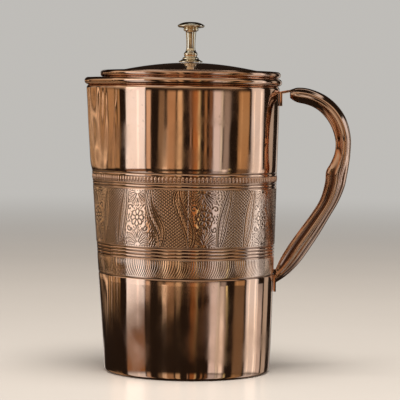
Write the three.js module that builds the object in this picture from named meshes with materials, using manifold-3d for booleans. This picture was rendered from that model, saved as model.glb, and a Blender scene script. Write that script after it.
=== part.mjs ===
// Copper water jug with a lift-off lid, a pulled pouring lip and a strap handle.
// Units are millimetres, +Z is up. The origin is the centre of the foot on the jug's axis.
// The handle is at +X and the pouring lip at -X.
import * as THREE from "three";
import { mergeVertices } from "three/addons/utils/BufferGeometryUtils.js";
import Module from "manifold-3d";

const wasm = await Module();
wasm.setup();

// ---- Driving dimensions ----------------------------------------------------
const FIT_GAP = 0.3; // clearance between any two pieces that touch
const SEGMENTS = 40; // steps round a plain turned piece
const LIP_STEPS = 14; // steps across the lip
const WALL_STEPS = 34; // steps round the rest of the wall

const SHEET = 0.8; // copper sheet of the wall and the lid
const FOOT_RADIUS = 54; // outside of the wall at the foot
const MOUTH_RADIUS = 58.4; // outside of the wall under the rim
const WALL_HEIGHT = 184.5; // where the wall starts to turn in under the rim
const TAPER_POWER = 0.73; // how quickly the wall widens above the foot
const FOOT_CORNER = 1.7; // bend radius of the wall's bottom edge

const LIP_REACH = 9.3; // how far the lip stands out of the round wall at the rim
const LIP_REACH_LOW = 7.4; // the same at the lower end of the hammered lip
const KEEL_REACH = 6.2; // reach of the soft ridge just below the lip
const KEEL_POWER = 1.1; // how the ridge fades towards the foot
const KEEL_START = 8; // the wall is round below this height
const LIP_DEPTH = 47.5; // length of the hammered lip below the rim
const LIP_RUN_OUT = 6.5; // height over which the lip's end runs out into the ridge
const LIP_ROUND = 3; // rounding of the lip's edge, degrees
const KEEL_ROUND = 8; // rounding of the ridge, degrees

const RIM_WIRE_RADIUS = 1.3; // wire that the wall's edge is rolled over
const RIM_OUTSET = 1.4; // how far the rolled rim stands out of the wall
const RIM_RAISE = 1.8; // height of the necked-in stretch under the rolled rim
const RIM_ROLL = [195, -75]; // angles where the rolled edge starts and stops, degrees

const BASE_SHEET = 1; // thickness of the foot disc
const BASE_UPSTAND = 8; // height of the foot disc's turned-up edge
const BASE_CORNER = 4; // outside bend radius of that edge

const LID_OVERHANG = 0.5; // how far the lid's rolled edge stands out past the wall
const LID_WIRE_RADIUS = 1; // wire in the lid's rolled edge
const LID_ROLL = [115, -150]; // angles where the lid's rolled edge starts and stops, degrees
const LID_RISE = 6.6; // height of the dome above its edge
const LID_SHOULDER = 3.8; // groove between the rolled edge's middle and the dome
const LID_EDGE_RAISE = 0.6; // height of the dome's edge above the rolled edge's middle
const LID_DOME_POWER = 1.15; // fullness of the dome
const DOME_STEPS = 8;
const COLLAR_PLAY = 0.6; // play between the lid's collar and the mouth
const COLLAR_DEPTH = 13; // how far the collar hangs below the rim's top
const KNOB_SCREW_RADIUS = 2;
const KNOB_SCREW_REACH = 9; // thread length inside the knob
const SCREW_HEAD_RADIUS = 3.8;
const SCREW_HEAD_HEIGHT = 2.2;
const WASHER_RADIUS = 6.5;
const WASHER_THICKNESS = 1;

// The knob's outline above its foot, as radius and height, from the foot to the top.
const KNOB_OUTLINE = [
  [7.75, 0], [7.75, 0.9], [6.2, 1.5], [5.3, 2.2], [5.25, 3.1], [4.1, 3.5], [4.1, 4],
  [4.45, 4.7], [4.45, 6], [3.3, 7.2], [2.9, 8.6], [2.9, 13.5], [3.35, 19], [3.5, 20],
  [4.9, 20.8], [4.9, 21.6], [4.4, 22.1], [8.1, 22.6], [8.8, 23.4], [8.7, 24.1], [6.6, 25.4],
  [3.6, 26.1],
];
const KNOB_HEIGHT = 26.3;

// Handle stations. The crown is the side that faces away from the jug, and the lips are the two
// edges that face it. Each has its reach out from the wall, and its drop below the wall's top as
// a share of the handle's span. The last value is half the strap's width.
const HANDLE_SPAN = 127;
const HANDLE_STATIONS = [
  [6.9, 0.0, 7.0, 0.043, 5.4], [12.1, -0.011, 11.2, 0.063, 6.5],
  [20.1, -0.004, 18.3, 0.076, 7.0], [30.0, 0.028, 25.1, 0.1, 7.2],
  [38.3, 0.081, 30.9, 0.142, 7.4], [44.2, 0.15, 35.3, 0.198, 7.5],
  [47.4, 0.24, 37.8, 0.264, 7.5], [47.5, 0.327, 37.5, 0.323, 7.6],
  [46.8, 0.386, 35.3, 0.374, 7.8], [45.9, 0.437, 32.5, 0.418, 8.3],
  [44.4, 0.5, 32.0, 0.48, 8.5], [40.8, 0.575, 29.3, 0.563, 8.2],
  [35.8, 0.647, 24.0, 0.636, 7.6], [29.6, 0.735, 16.9, 0.716, 6.8],
  [23.1, 0.818, 10.1, 0.794, 5.8], [16.5, 0.893, 5.1, 0.86, 4.8],
  [9.3, 0.953, 2.4, 0.906, 4.0],
];
const HANDLE_FOOT_DEPTH = 8; // depth of the strap where it meets the wall
const HANDLE_FOOT_HALF = 3.4; // half its width there
const HANDLE_SHEET = 1; // thickness of the handle's strap
const HANDLE_FOLD = 0.38; // height of the fold between side and crown, as a share of the depth
const HANDLE_STEPS = 36;
const CROWN_STEPS = 6; // flats across the rounded crown
const TONGUE_WIDTH = 10.5;
const TONGUE_RISE = 1.6; // how far the tongue climbs from the wall to the strap
const TONGUE_LAP = 2; // how far the tongue runs into the strap
const TOP_TAB_DROP = 2.5; // distance from the wall's top down to the top tab
const TOP_TAB_LENGTH = 8;
const FOOT_TAB_WIDTH = 6.6;
const FOOT_TAB_BELOW = 4.8; // length of the foot tab below the handle's end

const COPPER = { color: 0xb5744a, roughness: 0.16, metalness: 1 };
const DARK_COPPER = { color: 0x8a5233, roughness: 0.2, metalness: 1 };
const BRASS = { color: 0xd9bf7c, roughness: 0.18, metalness: 1 };
const STEEL = { color: 0x9a9a96, roughness: 0.35, metalness: 1 };

// ---- Small helpers ----------------------------------------------------------
const RAD = Math.PI / 180;
const lerp = (a, b, t) => a + (b - a) * t;

function named(name, geometry, finish) {
  const mesh = new THREE.Mesh(geometry, new THREE.MeshStandardMaterial(finish));
  mesh.name = name;
  return mesh;
}

// A closed surface from rings of points. Each ring is a closed loop, and the rings themselves
// close on the first one, or end in flat caps.
function loft(rings, closed) {
  const count = rings[0].length;
  const positions = rings.flat().flatMap((p) => [p.x, p.y, p.z]);
  const index = [];
  const spans = closed ? rings.length : rings.length - 1;
  for (let i = 0; i < spans; i += 1) {
    const a = i * count;
    const b = ((i + 1) % rings.length) * count;
    for (let j = 0; j < count; j += 1) {
      const k = (j + 1) % count;
      index.push(a + j, b + j, b + k, a + j, b + k, a + k);
    }
  }
  const geometry = new THREE.BufferGeometry();
  geometry.setAttribute("position", new THREE.Float32BufferAttribute(positions, 3));
  if (!closed) {
    capRing(index, rings[0], 0, true);
    capRing(index, rings.at(-1), (rings.length - 1) * count, false);
  }
  geometry.setIndex(index);
  return geometry;
}

// Fills one end of a loft with triangles in the ring's own plane. They run the same way round as
// the ring, or the other way.
function capRing(index, ring, first, sameWay) {
  const origin = ring[0];
  const across = ring[Math.floor(ring.length / 2)].clone().sub(origin).normalize();
  const normal = new THREE.Vector3();
  ring.forEach((p, i) => {
    const q = ring[(i + 1) % ring.length];
    normal.add(p.clone().sub(origin).cross(q.clone().sub(origin)));
  });
  const up = normal.normalize().clone().cross(across);
  const flat = ring.map((p) => {
    const d = p.clone().sub(origin);
    return new THREE.Vector2(d.dot(across), d.dot(up));
  });
  const ringSign = Math.sign(THREE.ShapeUtils.area(flat));
  for (const [a, b, c] of THREE.ShapeUtils.triangulateShape(flat, [])) {
    const sign = Math.sign(THREE.ShapeUtils.area([flat[a], flat[b], flat[c]]));
    const forward = (sign === ringSign) === sameWay;
    index.push(first + a, first + (forward ? b : c), first + (forward ? c : b));
  }
}

// Turns a lofted geometry so that its faces point outwards.
function outward(geometry) {
  const p = geometry.attributes.position;
  const index = geometry.index.array;
  const corner = (i) => new THREE.Vector3().fromBufferAttribute(p, index[i]);
  let volume = 0;
  for (let i = 0; i < index.length; i += 3) {
    volume += corner(i).dot(corner(i + 1).cross(corner(i + 2)));
  }
  if (volume < 0) {
    for (let i = 0; i < index.length; i += 3) {
      [index[i + 1], index[i + 2]] = [index[i + 2], index[i + 1]];
    }
  }
  return geometry;
}

function toSolid(geometry) {
  const bare = geometry.clone();
  bare.deleteAttribute("normal");
  bare.deleteAttribute("uv");
  const merged = mergeVertices(bare, 1e-3);
  return new wasm.Manifold(
    new wasm.Mesh({
      numProp: 3,
      vertProperties: new Float32Array(merged.attributes.position.array),
      triVerts: new Uint32Array(merged.index.array),
    }),
  );
}

function fromSolid(solid) {
  const mesh = solid.getMesh();
  const geometry = new THREE.BufferGeometry();
  geometry.setAttribute("position", new THREE.BufferAttribute(mesh.vertProperties, 3));
  geometry.setIndex(new THREE.BufferAttribute(mesh.triVerts, 1));
  return geometry;
}

// The closed section of a sheet that follows a line: one side out, the other side back.
function sheetLoop(path, thickness) {
  const half = thickness / 2;
  const side = (sign) =>
    path.map((p, i) => {
      const before = path[Math.max(i - 1, 0)];
      const after = path[Math.min(i + 1, path.length - 1)];
      const along = after.clone().sub(before).normalize();
      return new THREE.Vector2(p.x + sign * half * along.y, p.y - sign * half * along.x);
    });
  return [...side(1), ...side(-1).reverse()];
}

// Points on an arc, angles in degrees, both ends included.
function arc(cx, cy, radius, from, to, steps) {
  return Array.from({ length: steps + 1 }, (_, i) => {
    const a = lerp(from, to, i / steps) * RAD;
    return new THREE.Vector2(cx + radius * Math.cos(a), cy + radius * Math.sin(a));
  });
}

function turned(points, segments = SEGMENTS) {
  const geometry = new THREE.LatheGeometry(points, segments);
  geometry.deleteAttribute("uv");
  geometry.deleteAttribute("normal");
  const solid = mergeVertices(geometry, 1e-4);
  solid.rotateX(Math.PI / 2); // the lathe turns about Y, and the jug's axis is Z
  return outward(solid);
}

// ---- The jug's plan outline -------------------------------------------------
const lipBottom = WALL_HEIGHT - LIP_DEPTH;
const keelTop = lipBottom - LIP_RUN_OUT;

function wallRadius(z) {
  const share = THREE.MathUtils.clamp(z / WALL_HEIGHT, 0, 1);
  return FOOT_RADIUS + (MOUTH_RADIUS - FOOT_RADIUS) * share ** TAPER_POWER;
}

// 0 on the ridge, 1 on the lip above it.
function lipShare(z) {
  return THREE.MathUtils.smoothstep(z, keelTop, lipBottom);
}

// How far the lip or the ridge below it reaches past the round wall.
function lipReach(z) {
  const lip = lerp(LIP_REACH_LOW, LIP_REACH, (z - lipBottom) / LIP_DEPTH);
  const keel = KEEL_REACH * Math.max((z - KEEL_START) / (keelTop - KEEL_START), 0) ** KEEL_POWER;
  return lerp(keel, lip, lipShare(z));
}

// Angle from the lip's edge at which its flat sides meet the round wall.
function lipRoot(z) {
  return Math.acos(wallRadius(z) / (wallRadius(z) + lipReach(z)));
}

// The wall's outer outline at a height: a circle with a beak whose sides are tangent to it.
function outlinePoint(angle, height) {
  const z = Math.min(height, WALL_HEIGHT);
  const root = lipRoot(z);
  const round = Math.min(lerp(KEEL_ROUND, LIP_ROUND, lipShare(z)) * RAD, root);
  const fromLip = Math.abs(Math.atan2(Math.sin(angle - Math.PI), Math.cos(angle - Math.PI)));
  const beak = THREE.MathUtils.clamp(root + round - Math.hypot(fromLip, round), 0, root);
  const r = wallRadius(z) / Math.cos(beak);
  return new THREE.Vector2(r * Math.cos(angle), r * Math.sin(angle));
}

// A point that stands off the outline by a distance, square to it.
function offsetPoint(angle, offset, height) {
  const step = 0.5 * RAD;
  const along = outlinePoint(angle + step, height).sub(outlinePoint(angle - step, height)).normalize();
  const p = outlinePoint(angle, height);
  return new THREE.Vector3(p.x + offset * along.y, p.y - offset * along.x, height);
}

// Angles round the jug, closer together across the lip, with one on the lip's edge.
function planAngles() {
  const lipHalf = lipRoot(WALL_HEIGHT) + 2 * LIP_ROUND * RAD;
  const across = (i) => Math.PI + lerp(-lipHalf, lipHalf, i / LIP_STEPS);
  const around = (i) => Math.PI + lerp(lipHalf, 2 * Math.PI - lipHalf, i / WALL_STEPS);
  return [
    ...Array.from({ length: LIP_STEPS }, (_, i) => across(i)),
    ...Array.from({ length: WALL_STEPS }, (_, i) => around(i)),
  ];
}

// ---- Body -------------------------------------------------------------------
const rimCurl = RIM_WIRE_RADIUS + FIT_GAP + SHEET / 2; // middle of the rolled sheet
const rimCentreOffset = RIM_OUTSET - rimCurl - SHEET / 2;
const rimCentreZ = WALL_HEIGHT + RIM_RAISE + rimCurl + SHEET / 2;
const rimTop = rimCentreZ + rimCurl + SHEET / 2;
const mouthRadius = MOUTH_RADIUS + rimCentreOffset - rimCurl - SHEET / 2;

// Evenly spaced values, both ends included.
function spread(from, to, steps) {
  return Array.from({ length: steps + 1 }, (_, i) => lerp(from, to, i / steps));
}

function wallSection() {
  const middle = -SHEET / 2;
  const path = arc(middle - FOOT_CORNER, SHEET / 2 + FOOT_CORNER, FOOT_CORNER, -90, 0, 3);
  const heights = [...spread(KEEL_START, keelTop, 6), ...spread(keelTop, lipBottom, 2).slice(1)];
  heights.push(...spread(lipBottom, WALL_HEIGHT, 3).slice(1));
  path.push(...heights.map((z) => new THREE.Vector2(middle, z)));
  path.push(...arc(rimCentreOffset, rimCentreZ, rimCurl, ...RIM_ROLL, 9));
  return sheetLoop(path, SHEET);
}

function makeWall() {
  const section = wallSection();
  const rings = planAngles().map((a) => section.map((p) => offsetPoint(a, p.x, p.y)));
  return outward(loft(rings, true));
}

// The wire follows the same outline as the rolled rim around it.
function makeRimWire() {
  const section = arc(rimCentreOffset, rimCentreZ, RIM_WIRE_RADIUS, 0, 300, 5);
  const rings = planAngles().map((a) => section.map((p) => offsetPoint(a, p.x, p.y)));
  return outward(loft(rings, true));
}

function makeBase() {
  const outside = (z) => wallRadius(z) - SHEET - FIT_GAP;
  const cornerX = outside(BASE_CORNER) - BASE_CORNER;
  const outer = arc(cornerX, BASE_CORNER, BASE_CORNER, -90, 0, 5);
  outer.push(new THREE.Vector2(outside(BASE_UPSTAND), BASE_UPSTAND));
  const inner = arc(cornerX, BASE_CORNER, BASE_CORNER - BASE_SHEET, -90, 0, 4);
  inner.push(new THREE.Vector2(outside(BASE_UPSTAND) - BASE_SHEET, BASE_UPSTAND));
  return turned([new THREE.Vector2(0, 0), ...outer, ...inner.reverse(), new THREE.Vector2(0, BASE_SHEET)]);
}

// ---- Handle -----------------------------------------------------------------
// One cross-section of the strap: an open channel with a rounded crown, its lips towards the jug.
function handleRing(crown, lip, halfWidth) {
  const out = crown.clone().sub(lip);
  const depth = out.length();
  out.normalize();
  const place = (y, h) => new THREE.Vector3(lip.x + out.x * h, y, lip.y + out.y * h);
  const channel = (w, fold, top) => {
    const points = [[w, 0]];
    for (let i = 0; i <= CROWN_STEPS; i += 1) {
      const a = (Math.PI * i) / CROWN_STEPS;
      points.push([w * Math.cos(a), fold + (top - fold) * Math.sin(a)]);
    }
    points.push([-w, 0]);
    return points;
  };
  const fold = HANDLE_FOLD * depth;
  const outer = channel(halfWidth, fold, depth);
  const inner = channel(halfWidth - HANDLE_SHEET, fold, depth - HANDLE_SHEET);
  return [...outer, ...inner.reverse()].map(([y, h]) => place(y, h));
}

// A bent strip: an outline in the XZ plane, given as X and Z, with its width along Y.
function strip(outline, width) {
  const shape = new THREE.Shape(outline.map(([x, z]) => new THREE.Vector2(x, z)));
  const geometry = new THREE.ExtrudeGeometry(shape, { depth: width, bevelEnabled: false });
  geometry.rotateX(Math.PI / 2);
  geometry.translate(0, width / 2, 0);
  return geometry;
}

// The face of a tab that lies on the wall between two heights.
function tabFace(low, high) {
  return Math.max(wallRadius(low), wallRadius(high)) + FIT_GAP;
}

function makeHandle() {
  const heightAt = (share) => WALL_HEIGHT - share * HANDLE_SPAN;
  const standOff = (reach, share) => {
    const z = heightAt(share);
    return new THREE.Vector2(wallRadius(z) + reach, z);
  };
  const footZ = heightAt(1);
  const footTabTop = footZ + HANDLE_FOOT_DEPTH + HANDLE_SHEET;
  const footTabBottom = footZ - FOOT_TAB_BELOW;
  const footFace = tabFace(footTabBottom, footTabTop);
  const footMiddle = footFace + HANDLE_SHEET / 2;
  const crownPoints = HANDLE_STATIONS.map((s) => standOff(s[0], s[1]));
  const lipPoints = HANDLE_STATIONS.map((s) => standOff(s[2], s[3]));
  const widthPoints = HANDLE_STATIONS.map((s, i) => new THREE.Vector2(i, s[4]));
  crownPoints.push(new THREE.Vector2(footMiddle, footZ));
  lipPoints.push(new THREE.Vector2(footMiddle, footZ + HANDLE_FOOT_DEPTH));
  widthPoints.push(new THREE.Vector2(HANDLE_STATIONS.length, HANDLE_FOOT_HALF));
  const crowns = new THREE.SplineCurve(crownPoints);
  const lips = new THREE.SplineCurve(lipPoints);
  const widths = new THREE.SplineCurve(widthPoints);
  const rings = spread(0, 1, HANDLE_STEPS).map((t) =>
    handleRing(crowns.getPoint(t), lips.getPoint(t), widths.getPoint(t).y),
  );
  const strap = outward(loft(rings, false));

  const tabTop = WALL_HEIGHT - TOP_TAB_DROP;
  const topFace = tabFace(tabTop - TOP_TAB_LENGTH, WALL_HEIGHT);
  const tongueX = crownPoints[0].x + TONGUE_LAP;
  const tongueZ = crownPoints[0].y;
  const tongue = strip(
    [
      [topFace, tabTop - TOP_TAB_LENGTH],
      [topFace + HANDLE_SHEET, tabTop - TOP_TAB_LENGTH],
      [topFace + HANDLE_SHEET, tongueZ - TONGUE_RISE - HANDLE_SHEET],
      [tongueX, tongueZ - HANDLE_SHEET],
      [tongueX, tongueZ],
      [topFace, tongueZ - TONGUE_RISE],
    ],
    TONGUE_WIDTH,
  );
  const footTab = strip(
    [
      [footFace, footTabBottom],
      [footFace + HANDLE_SHEET, footTabBottom],
      [footFace + HANDLE_SHEET, footTabTop],
      [footFace, footTabTop],
    ],
    FOOT_TAB_WIDTH,
  );
  return fromSolid(toSolid(strap).add(toSolid(tongue)).add(toSolid(footTab)));
}

// ---- Lid --------------------------------------------------------------------
const lidCurl = LID_WIRE_RADIUS + FIT_GAP + SHEET / 2;
const lidCurlX = MOUTH_RADIUS + LID_OVERHANG - lidCurl - SHEET / 2;
const lidCurlZ = rimTop + FIT_GAP + lidCurl + SHEET / 2;
const domeRadius = lidCurlX - LID_SHOULDER;
const domeEdgeZ = lidCurlZ + LID_EDGE_RAISE; // middle of the sheet where the dome starts
const knobHole = KNOB_SCREW_RADIUS + FIT_GAP;

// Height of the middle of the dome's sheet.
function domeHeight(r) {
  return domeEdgeZ + LID_RISE * Math.max(1 - (r / domeRadius) ** 2, 0) ** LID_DOME_POWER;
}

function makeLidDome() {
  const radii = spread(knobHole, domeRadius, DOME_STEPS);
  const path = radii.map((r) => new THREE.Vector2(r, domeHeight(r)));
  path.push(...arc(lidCurlX, lidCurlZ, lidCurl, ...LID_ROLL, 9));
  const section = sheetLoop(path, SHEET);
  return turned([...section, section[0]]);
}

function makeLidWire() {
  const section = arc(lidCurlX, lidCurlZ, LID_WIRE_RADIUS, 0, 360, 6);
  return turned(section);
}

// A ring with a square section, such as a collar or a washer.
function ring(inner, outer, bottom, top, segments = SEGMENTS) {
  const corners = [
    [inner, bottom],
    [outer, bottom],
    [outer, top],
    [inner, top],
    [inner, bottom],
  ];
  return turned(corners.map(([r, z]) => new THREE.Vector2(r, z)), segments);
}

function makeCollar() {
  const outer = mouthRadius - COLLAR_PLAY;
  const top = domeEdgeZ - SHEET / 2 - FIT_GAP;
  return ring(outer - SHEET, outer, rimTop - COLLAR_DEPTH, top);
}

const knobFoot = domeHeight(knobHole) + SHEET / 2 + FIT_GAP;
const washerTop = domeHeight(WASHER_RADIUS) - SHEET / 2 - FIT_GAP;
const screwHeadTop = washerTop - WASHER_THICKNESS - FIT_GAP;
const screwTip = knobFoot + KNOB_SCREW_REACH;

function makeKnob() {
  const hollowTop = screwTip + FIT_GAP;
  const outline = KNOB_OUTLINE.map(([r, h]) => new THREE.Vector2(r, knobFoot + h));
  return turned(
    [
      new THREE.Vector2(0, hollowTop),
      new THREE.Vector2(knobHole, hollowTop),
      new THREE.Vector2(knobHole, knobFoot),
      ...outline,
      new THREE.Vector2(0, knobFoot + KNOB_HEIGHT),
    ],
    28,
  );
}

function makeScrew() {
  const bottom = screwHeadTop - SCREW_HEAD_HEIGHT;
  const points = [
    [0, bottom],
    [SCREW_HEAD_RADIUS - 1, bottom],
    [SCREW_HEAD_RADIUS, bottom + 1],
    [SCREW_HEAD_RADIUS, screwHeadTop],
    [KNOB_SCREW_RADIUS, screwHeadTop],
    [KNOB_SCREW_RADIUS, screwTip],
    [0, screwTip],
  ];
  return turned(points.map(([r, z]) => new THREE.Vector2(r, z)), 24);
}

function makeWasher() {
  return ring(knobHole, WASHER_RADIUS, washerTop - WASHER_THICKNESS, washerTop, 24);
}

// ---- Assembly ---------------------------------------------------------------
const body = new THREE.Group();
body.add(named("body_wall", makeWall(), COPPER));
body.add(named("rim_wire", makeRimWire(), STEEL));
body.add(named("base_disc", makeBase(), DARK_COPPER));
body.add(named("handle", makeHandle(), COPPER));

const lid = new THREE.Group();
lid.add(named("lid_dome", makeLidDome(), DARK_COPPER));
lid.add(named("lid_rim_wire", makeLidWire(), STEEL));
lid.add(named("lid_collar", makeCollar(), COPPER));
lid.add(named("lid_knob", makeKnob(), BRASS));
lid.add(named("knob_screw", makeScrew(), STEEL));
lid.add(named("knob_washer", makeWasher(), BRASS));

const jug = new THREE.Group();
jug.add(body);
jug.add(lid);

export default jug;
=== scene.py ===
"""Looks for the copper water jug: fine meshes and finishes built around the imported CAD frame.

The jug stands on its foot at the origin, with +Z up, the handle at +X and the pouring lip at -X.
Lengths are metres. Reliefs and small sizes are written as multiples of MM.
"""

import logging
import math
from dataclasses import dataclass, field
from enum import Enum
from typing import Sequence

import bpy
import numpy as np
from mathutils import Matrix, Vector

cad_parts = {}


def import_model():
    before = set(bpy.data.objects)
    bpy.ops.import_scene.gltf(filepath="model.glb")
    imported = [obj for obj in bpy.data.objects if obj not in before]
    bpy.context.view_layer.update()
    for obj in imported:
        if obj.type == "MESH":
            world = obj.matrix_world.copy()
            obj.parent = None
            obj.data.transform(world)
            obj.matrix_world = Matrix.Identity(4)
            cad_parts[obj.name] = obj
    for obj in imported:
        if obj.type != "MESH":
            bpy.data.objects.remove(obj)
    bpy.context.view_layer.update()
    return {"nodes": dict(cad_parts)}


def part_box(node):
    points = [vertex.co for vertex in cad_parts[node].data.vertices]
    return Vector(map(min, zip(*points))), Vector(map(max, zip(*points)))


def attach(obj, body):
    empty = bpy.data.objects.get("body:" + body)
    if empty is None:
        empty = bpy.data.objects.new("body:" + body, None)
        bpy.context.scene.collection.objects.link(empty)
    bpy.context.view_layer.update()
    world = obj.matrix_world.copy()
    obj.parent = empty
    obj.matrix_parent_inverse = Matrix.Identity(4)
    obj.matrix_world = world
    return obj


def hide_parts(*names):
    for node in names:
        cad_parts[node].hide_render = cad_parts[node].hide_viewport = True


LOG = logging.getLogger("copper_jug")
MM = 0.001
TAU = 2.0 * math.pi
Array = np.ndarray


# ---------------------------------------------------------------------------
# Small numeric helpers
# ---------------------------------------------------------------------------
def smoothstep(low: float, high: float, x: Array | float) -> Array:
    """Eases from 0 at low to 1 at high.

    Args:
        low: value where the ease starts.
        high: value where the ease ends.
        x: value or values to ease.

    Returns:
        The eased share, between 0 and 1.
    """
    t = np.clip((np.asarray(x, dtype=float) - low) / (high - low), 0.0, 1.0)
    return t * t * (3.0 - 2.0 * t)


def wrapped(angle: Array) -> Array:
    """The same directions as angles between -pi and pi."""
    return np.angle(np.exp(1j * angle))


def spline(points: Sequence[Sequence[float]], count: int) -> Array:
    """Samples a Catmull-Rom curve through points, evenly in its parameter.

    Args:
        points: the points that the curve passes, one row each.
        count: how many samples to return, ends included.

    Returns:
        An array of count rows.
    """
    p = np.asarray(points, dtype=float)
    p = np.vstack([2 * p[0] - p[1], p, 2 * p[-1] - p[-2]])
    spans = len(p) - 3
    s = np.linspace(0.0, spans, count)
    i = np.minimum(s.astype(int), spans - 1)
    t = (s - i)[:, None]
    a, b, c, d = p[i], p[i + 1], p[i + 2], p[i + 3]
    return 0.5 * (
        2 * b + (c - a) * t + (2 * a - 5 * b + 4 * c - d) * t**2 + (3 * b - a - 3 * c + d) * t**3
    )


def waves(x: Array, y: Array, size: float, seed: int, count: int = 14) -> Array:
    """A smooth, repeatable field of random waves, about -1 to 1.

    Args:
        x: first coordinate.
        y: second coordinate.
        size: typical wavelength, in the coordinates' units.
        seed: fixed seed.
        count: how many waves are summed.

    Returns:
        The field at each place.
    """
    rng = np.random.default_rng(seed)
    total = np.zeros(np.broadcast(x, y).shape)
    for _ in range(count):
        angle, phase = rng.uniform(0, TAU, 2)
        length = size * rng.uniform(0.7, 1.8)
        total += np.sin(TAU * (x * math.cos(angle) + y * math.sin(angle)) / length + phase)
    return total / math.sqrt(count)


def arc(centre: tuple[float, float], radius: float, start: float, stop: float, steps: int) -> Array:
    """Points on an arc in a section plane.

    Args:
        centre: the arc's centre.
        radius: its radius.
        start: first angle in degrees.
        stop: last angle in degrees.
        steps: number of spans.

    Returns:
        steps + 1 rows of two coordinates.
    """
    a = np.radians(np.linspace(start, stop, steps + 1))
    return np.column_stack([centre[0] + radius * np.cos(a), centre[1] + radius * np.sin(a)])


def sheet_loop(path: Array, thickness: float) -> Array:
    """The closed section of a sheet that follows a line, out on one side and back on the other.

    Args:
        path: the middle line, one row per point.
        thickness: the sheet's thickness.

    Returns:
        The closed section, one row per point, without a repeated last point.
    """
    along = np.gradient(path, axis=0)
    along /= np.linalg.norm(along, axis=1)[:, None]
    side = np.column_stack([along[:, 1], -along[:, 0]]) * thickness / 2
    return np.vstack([path + side, (path - side)[::-1]])


# ---------------------------------------------------------------------------
# Mesh helpers
# ---------------------------------------------------------------------------
def link_object(name: str, data: bpy.types.ID) -> bpy.types.Object:
    """Makes an object of a mesh, light or camera and links it to the scene."""
    obj = bpy.data.objects.new(name, data)
    bpy.context.scene.collection.objects.link(obj)
    return obj


def plain_mesh(name: str, verts: Sequence, faces: Sequence = ()) -> bpy.types.Object:
    """Makes a linked mesh object from rows of coordinates and rows of corners."""
    mesh = bpy.data.meshes.new(name)
    mesh.from_pydata(verts, [], faces)
    return link_object(name, mesh)


def store(mesh: bpy.types.Mesh, name: str, kind: str, values: Array) -> None:
    """Stores one number or vector for each vertex as a named attribute."""
    layer = mesh.attributes.new(name, kind, "POINT")
    key = "vector" if kind == "FLOAT_VECTOR" else "value"
    layer.data.foreach_set(key, values.astype(np.float32).ravel())


def apply_modifiers(obj: bpy.types.Object) -> None:
    """Replaces an object's mesh by what its modifiers make of it."""
    graph = bpy.context.evaluated_depsgraph_get()
    obj.data = bpy.data.meshes.new_from_object(obj.evaluated_get(graph), depsgraph=graph)
    obj.modifiers.clear()


def add_mesh(
    name: str, verts: Array, faces: Array, cavity: Array | None = None
) -> bpy.types.Object:
    """Makes a smooth mesh object from arrays.

    Args:
        name: the object's name.
        verts: one row of three coordinates for each vertex.
        faces: one row of four corners for each face; a repeated corner makes it a triangle.
        cavity: how deep each vertex lies in the engraving, 0 to 1.

    Returns:
        The new object, linked to the scene.
    """
    rows = faces.tolist()
    if (faces[:, 2] == faces[:, 3]).any():
        rows = [list(dict.fromkeys(row)) for row in rows]
    obj = plain_mesh(name, verts.tolist(), rows)
    obj.data.polygons.foreach_set("use_smooth", [True] * len(obj.data.polygons))
    if cavity is not None:
        store(obj.data, "cavity", "FLOAT", cavity)
    obj.data.update()
    return obj


def grid_faces(rows: int, cols: int, wrap_rows: bool, wrap_cols: bool) -> Array:
    """Quads of a grid of vertices that is stored row by row.

    Args:
        rows: number of rows.
        cols: number of columns.
        wrap_rows: whether the last row joins the first.
        wrap_cols: whether the last column joins the first.

    Returns:
        One row of four vertex numbers for each quad.
    """
    r = np.arange(rows if wrap_rows else rows - 1)
    c = np.arange(cols if wrap_cols else cols - 1)
    r0, c0 = np.meshgrid(r, c, indexing="ij")
    r1, c1 = (r0 + 1) % rows, (c0 + 1) % cols
    corners = [r0 * cols + c0, r0 * cols + c1, r1 * cols + c1, r1 * cols + c0]
    return np.stack([k.ravel() for k in corners], axis=1)


def outward(obj: bpy.types.Object) -> bpy.types.Object:
    """Turns a closed mesh right side out, so that its signed volume is positive."""
    mesh = obj.data
    mesh.calc_loop_triangles()
    tris = np.empty(len(mesh.loop_triangles) * 3, dtype=np.int32)
    mesh.loop_triangles.foreach_get("vertices", tris)
    co = np.empty(len(mesh.vertices) * 3, dtype=np.float32)
    mesh.vertices.foreach_get("co", co)
    p = co.reshape(-1, 3)[tris.reshape(-1, 3)].astype(float)
    if np.einsum("ij,ij->i", p[:, 0], np.cross(p[:, 1], p[:, 2])).sum() < 0:
        mesh.flip_normals()
    return obj


def lathe(name: str, section: Array, steps: int, closed: bool) -> bpy.types.Object:
    """Turns a section about the jug's axis.

    Args:
        name: the object's name.
        section: radius and height of each point.
        steps: steps round the axis.
        closed: whether the section closes on its first point, or starts and ends on the axis.

    Returns:
        The turned object, right side out.
    """
    a = np.arange(steps) * TAU / steps
    inner = section if closed else section[1:-1]
    verts = np.stack(
        [
            inner[:, 0, None] * np.cos(a),
            inner[:, 0, None] * np.sin(a),
            np.repeat(inner[:, 1, None], steps, 1),
        ],
        axis=2,
    ).reshape(-1, 3)
    faces = grid_faces(len(inner), steps, closed, True)
    if not closed:
        first, last = len(verts), len(verts) + 1
        verts = np.vstack([verts, [[0, 0, section[0, 1]], [0, 0, section[-1, 1]]]])
        k = np.arange(steps)
        top = (len(inner) - 1) * steps
        fan_a = np.stack([np.full(steps, first), (k + 1) % steps, k, k], axis=1)
        fan_b = np.stack(
            [np.full(steps, last), top + k, top + (k + 1) % steps, top + (k + 1) % steps], axis=1
        )
        faces = np.vstack([faces, fan_a, fan_b])
    return outward(add_mesh(name, verts, faces))


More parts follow.
